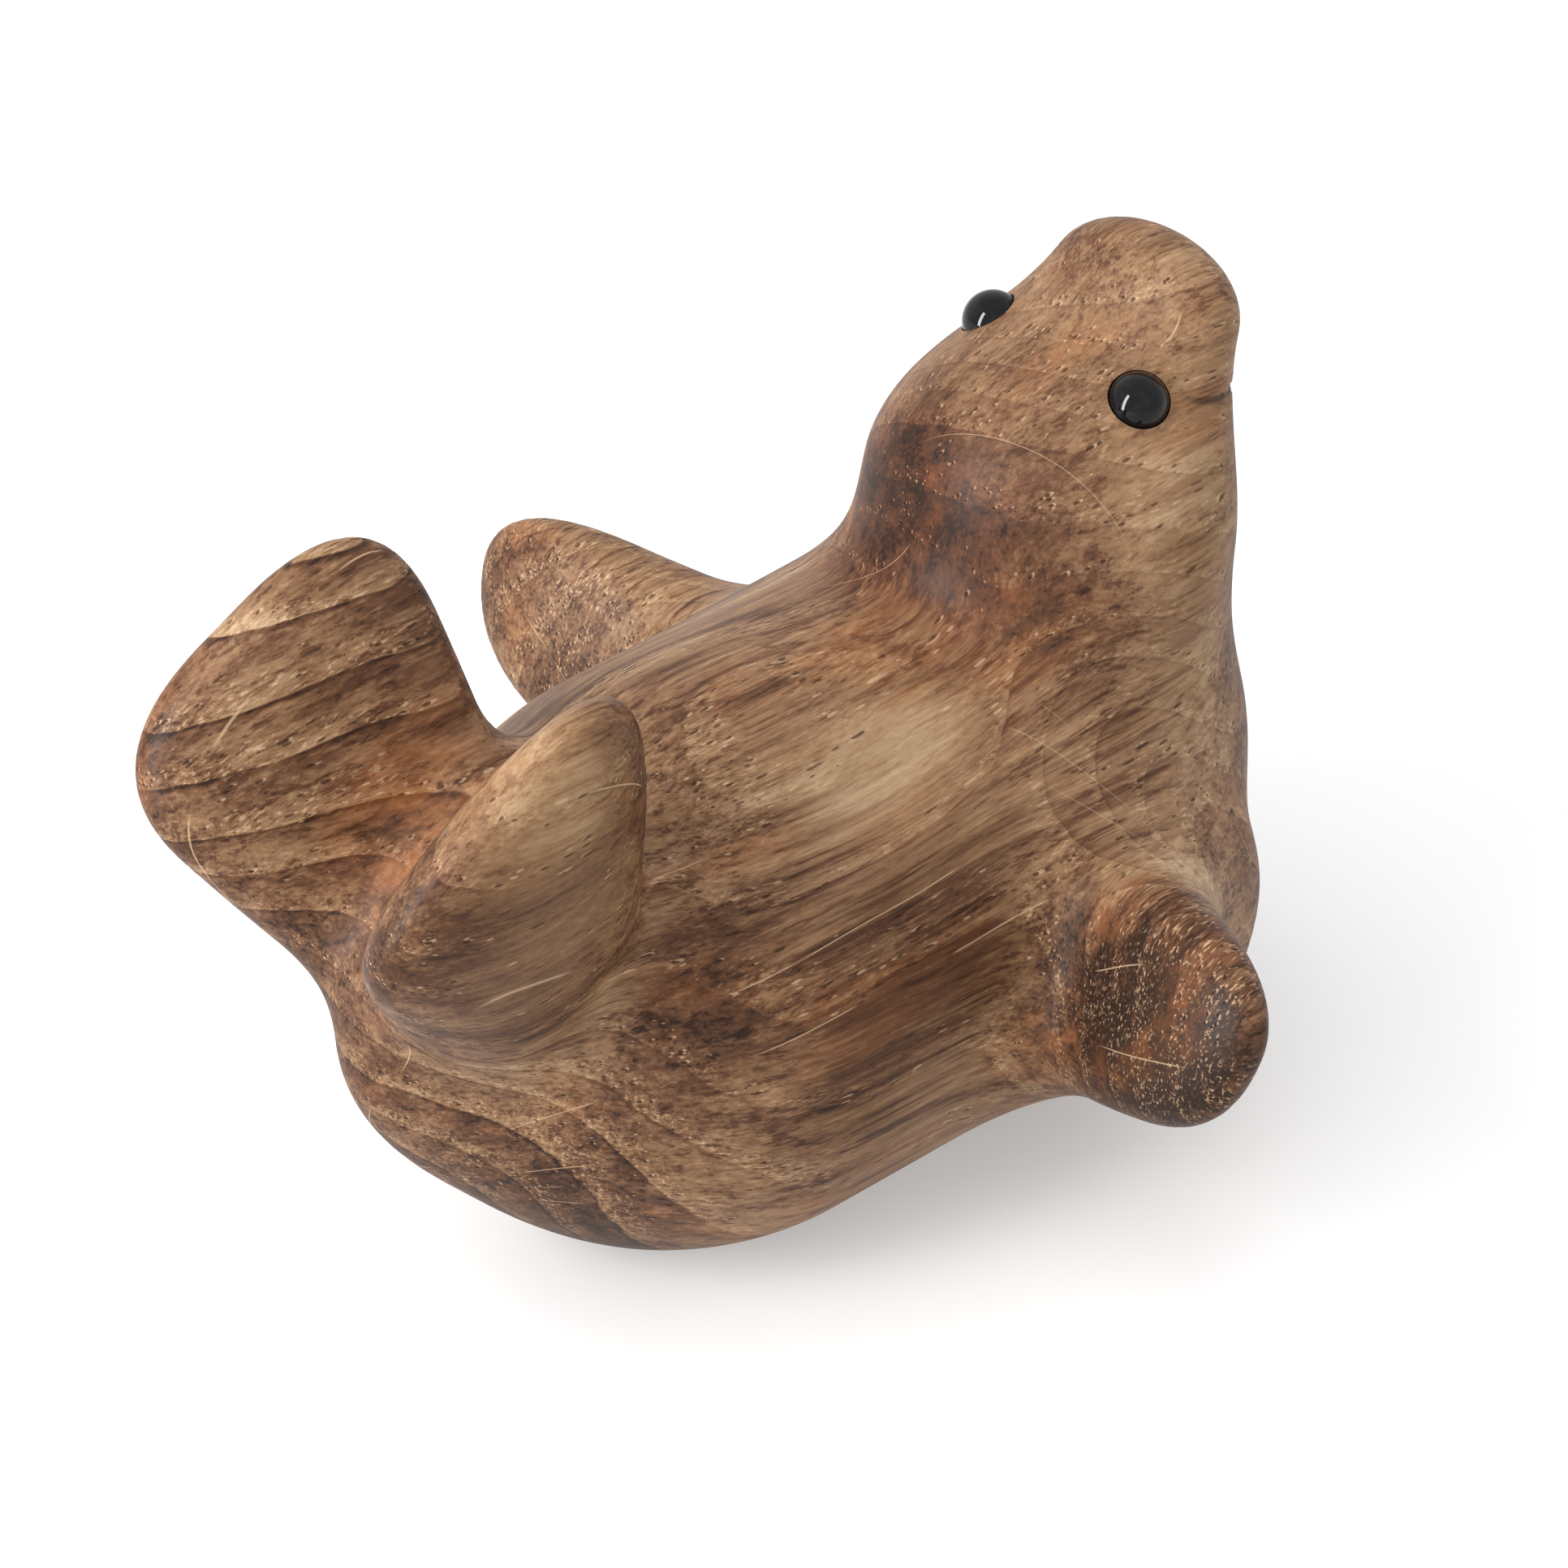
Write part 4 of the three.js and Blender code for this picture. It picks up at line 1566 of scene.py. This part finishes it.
@dataclass
class SealBody:
    """The carved block of oak."""

    carving: Carving = field(default_factory=Carving)
    sharp_from: float = 40.0

    def build(self, eyes: Sequence[Eye], finish: OakFinish) -> bpy.types.Object:
        """Carves the body, cuts the eye sockets and gives it its finish.

        Args:
            eyes: The eyes to cut sockets for.
            finish: The wood's finish.

        Returns:
            The body.
        """
        points, faces = Skin(self.carving).build()
        low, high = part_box("carved_body")
        middle = (points[:, 0].min() + points[:, 0].max()) / 2
        shift = np.array([(low.x + high.x) / 2 / MM - middle, 0.0, low.z / MM - points[:, 2].min()])
        body = mesh_object("oak_body", (points + shift) * MM, faces)
        for eye in eyes:
            self._cut(body, eye.socket_cutter())
        body.data.materials.append(finish.material())
        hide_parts("carved_body")
        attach(body, "root")
        return body

    def _cut(self, body: bpy.types.Object, cutter: bpy.types.Object) -> None:
        """Takes the cutter out of the body and removes the cutter.

        Args:
            body: The body.
            cutter: The solid to take out of it.
        """
        cut = body.modifiers.new("socket", "BOOLEAN")
        cut.operation = "DIFFERENCE"
        cut.solver = "EXACT"
        cut.object = cutter
        graph = bpy.context.evaluated_depsgraph_get()
        hollowed = bpy.data.meshes.new_from_object(body.evaluated_get(graph))
        body.modifiers.clear()
        body.data = hollowed
        bpy.data.objects.remove(cutter)
        hollowed.shade_smooth()
        hollowed.set_sharp_from_angle(angle=math.radians(self.sharp_from))


@dataclass(frozen=True)
class Lamp:
    """A rectangular soft light: its direction seen from the figure, its distance, size and power."""

    name: str
    rightwards: float
    upwards: float
    backwards: float
    skywards: float
    away: float
    size: tuple[float, float]
    watts: float
    reach: Reach


@dataclass
class Studio:
    """Camera, lights and floor."""

    azimuth: float = -41.1
    elevation: float = 35.0
    distance: float = 0.6
    target: Point = (0.00443, 0.0, 0.04037)
    focal_pixels: float = 7800.0
    image_pixels: float = 1932.0
    sensor: float = 36.0
    nearest: float = 0.01
    surround: float = 0.95
    floor_half: float = 3.0
    lamps: tuple[Lamp, ...] = (
        Lamp("top_softbox", -0.45, 0, 0.1, 1, 1.3, (1.6, 1.6), 12, Reach.SURFACES),
        Lamp("left_fill", -0.74, 0.04, 0.66, 0, 0.7, (0.3, 0.6), 5.4, Reach.SURFACES),
        Lamp("catch_light", -0.74, 0.04, 0.66, 0, 0.6, (0.11, 0.62), 7, Reach.GLOSS),
    )

    def _axes(self) -> tuple[Vector, Vector, Vector]:
        """Works out how the camera stands.

        Returns:
            The camera's right, up and backward directions.
        """
        turn, rise = math.radians(self.azimuth), math.radians(self.elevation)
        back = Vector((math.sin(turn) * math.cos(rise), -math.cos(turn) * math.cos(rise), math.sin(rise)))
        right = Vector((math.cos(turn), math.sin(turn), 0))
        return right, back.cross(right), back

    def build_camera(self) -> None:
        """Places the camera where the photograph was taken from."""
        right, up, back = self._axes()
        camera = bpy.data.cameras.new("camera")
        camera.sensor_width = self.sensor
        camera.lens = self.sensor * self.focal_pixels / self.image_pixels
        camera.clip_start = self.nearest
        holder = bpy.data.objects.new("camera", camera)
        turn = Matrix((right, up, back)).transposed().to_4x4()
        holder.matrix_world = Matrix.Translation(Vector(self.target) + back * self.distance) @ turn
        bpy.context.scene.collection.objects.link(holder)
        bpy.context.scene.camera = holder

    def _hang(self, lamp: Lamp) -> None:
        """Hangs one lamp, aimed at the figure.

        Args:
            lamp: The lamp.
        """
        light = bpy.data.lights.new(lamp.name, "AREA")
        light.shape = "RECTANGLE"
        light.size, light.size_y = lamp.size
        light.energy = lamp.watts
        holder = bpy.data.objects.new(lamp.name, light)
        holder.visible_glossy = lamp.reach is Reach.GLOSS
        holder.visible_diffuse = lamp.reach is Reach.SURFACES
        right, up, back = self._axes()
        way = right * lamp.rightwards + up * lamp.upwards + back * lamp.backwards
        way = (way + Vector((0, 0, lamp.skywards))).normalized()
        place = Matrix.Translation(Vector(self.target) + way * lamp.away)
        holder.matrix_world = place @ way.to_track_quat("Z", "Y").to_matrix().to_4x4()
        bpy.context.scene.collection.objects.link(holder)

    def build_lights(self) -> None:
        """Hangs the lamps in an even white surround."""
        for lamp in self.lamps:
            self._hang(lamp)
        world = bpy.data.worlds.new("surround")
        world.use_nodes = True
        surround = world.node_tree.nodes["Background"]
        surround.inputs["Color"].default_value = (1, 1, 1, 1)
        surround.inputs["Strength"].default_value = self.surround
        bpy.context.scene.world = world
        bpy.context.scene.view_settings.view_transform = "Standard"

    def build_floor(self, finish: FloorFinish) -> None:
        """Lays the floor under the figure.

        Args:
            finish: The floor's finish.
        """
        half = self.floor_half
        points = np.array([(-half, -half, 0), (half, -half, 0), (half, half, 0), (-half, half, 0)])
        floor = mesh_object("studio_floor", points, [(0, 1, 2, 3)])
        floor.data.materials.append(finish.material())


def main() -> None:
    """Builds the dressed figure and the studio round it."""
    logging.basicConfig(level=logging.INFO, format="%(message)s")
    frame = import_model()
    eyes = [Eye(side) for side in Side]
    body = SealBody().build(eyes, OakFinish())
    LOG.info("oak body: %d faces", len(body.data.polygons))
    for eye in eyes:
        bead = eye.bead(GlassFinish())
        eye.dress_pin(frame["nodes"], SteelFinish())
        LOG.info("%s: bead %.1f mm across, on its pin", bead.name, 2 * eye.radius / MM)
    studio = Studio()
    studio.build_camera()
    studio.build_lights()
    studio.build_floor(FloorFinish())


if __name__ == "__main__":
    main()
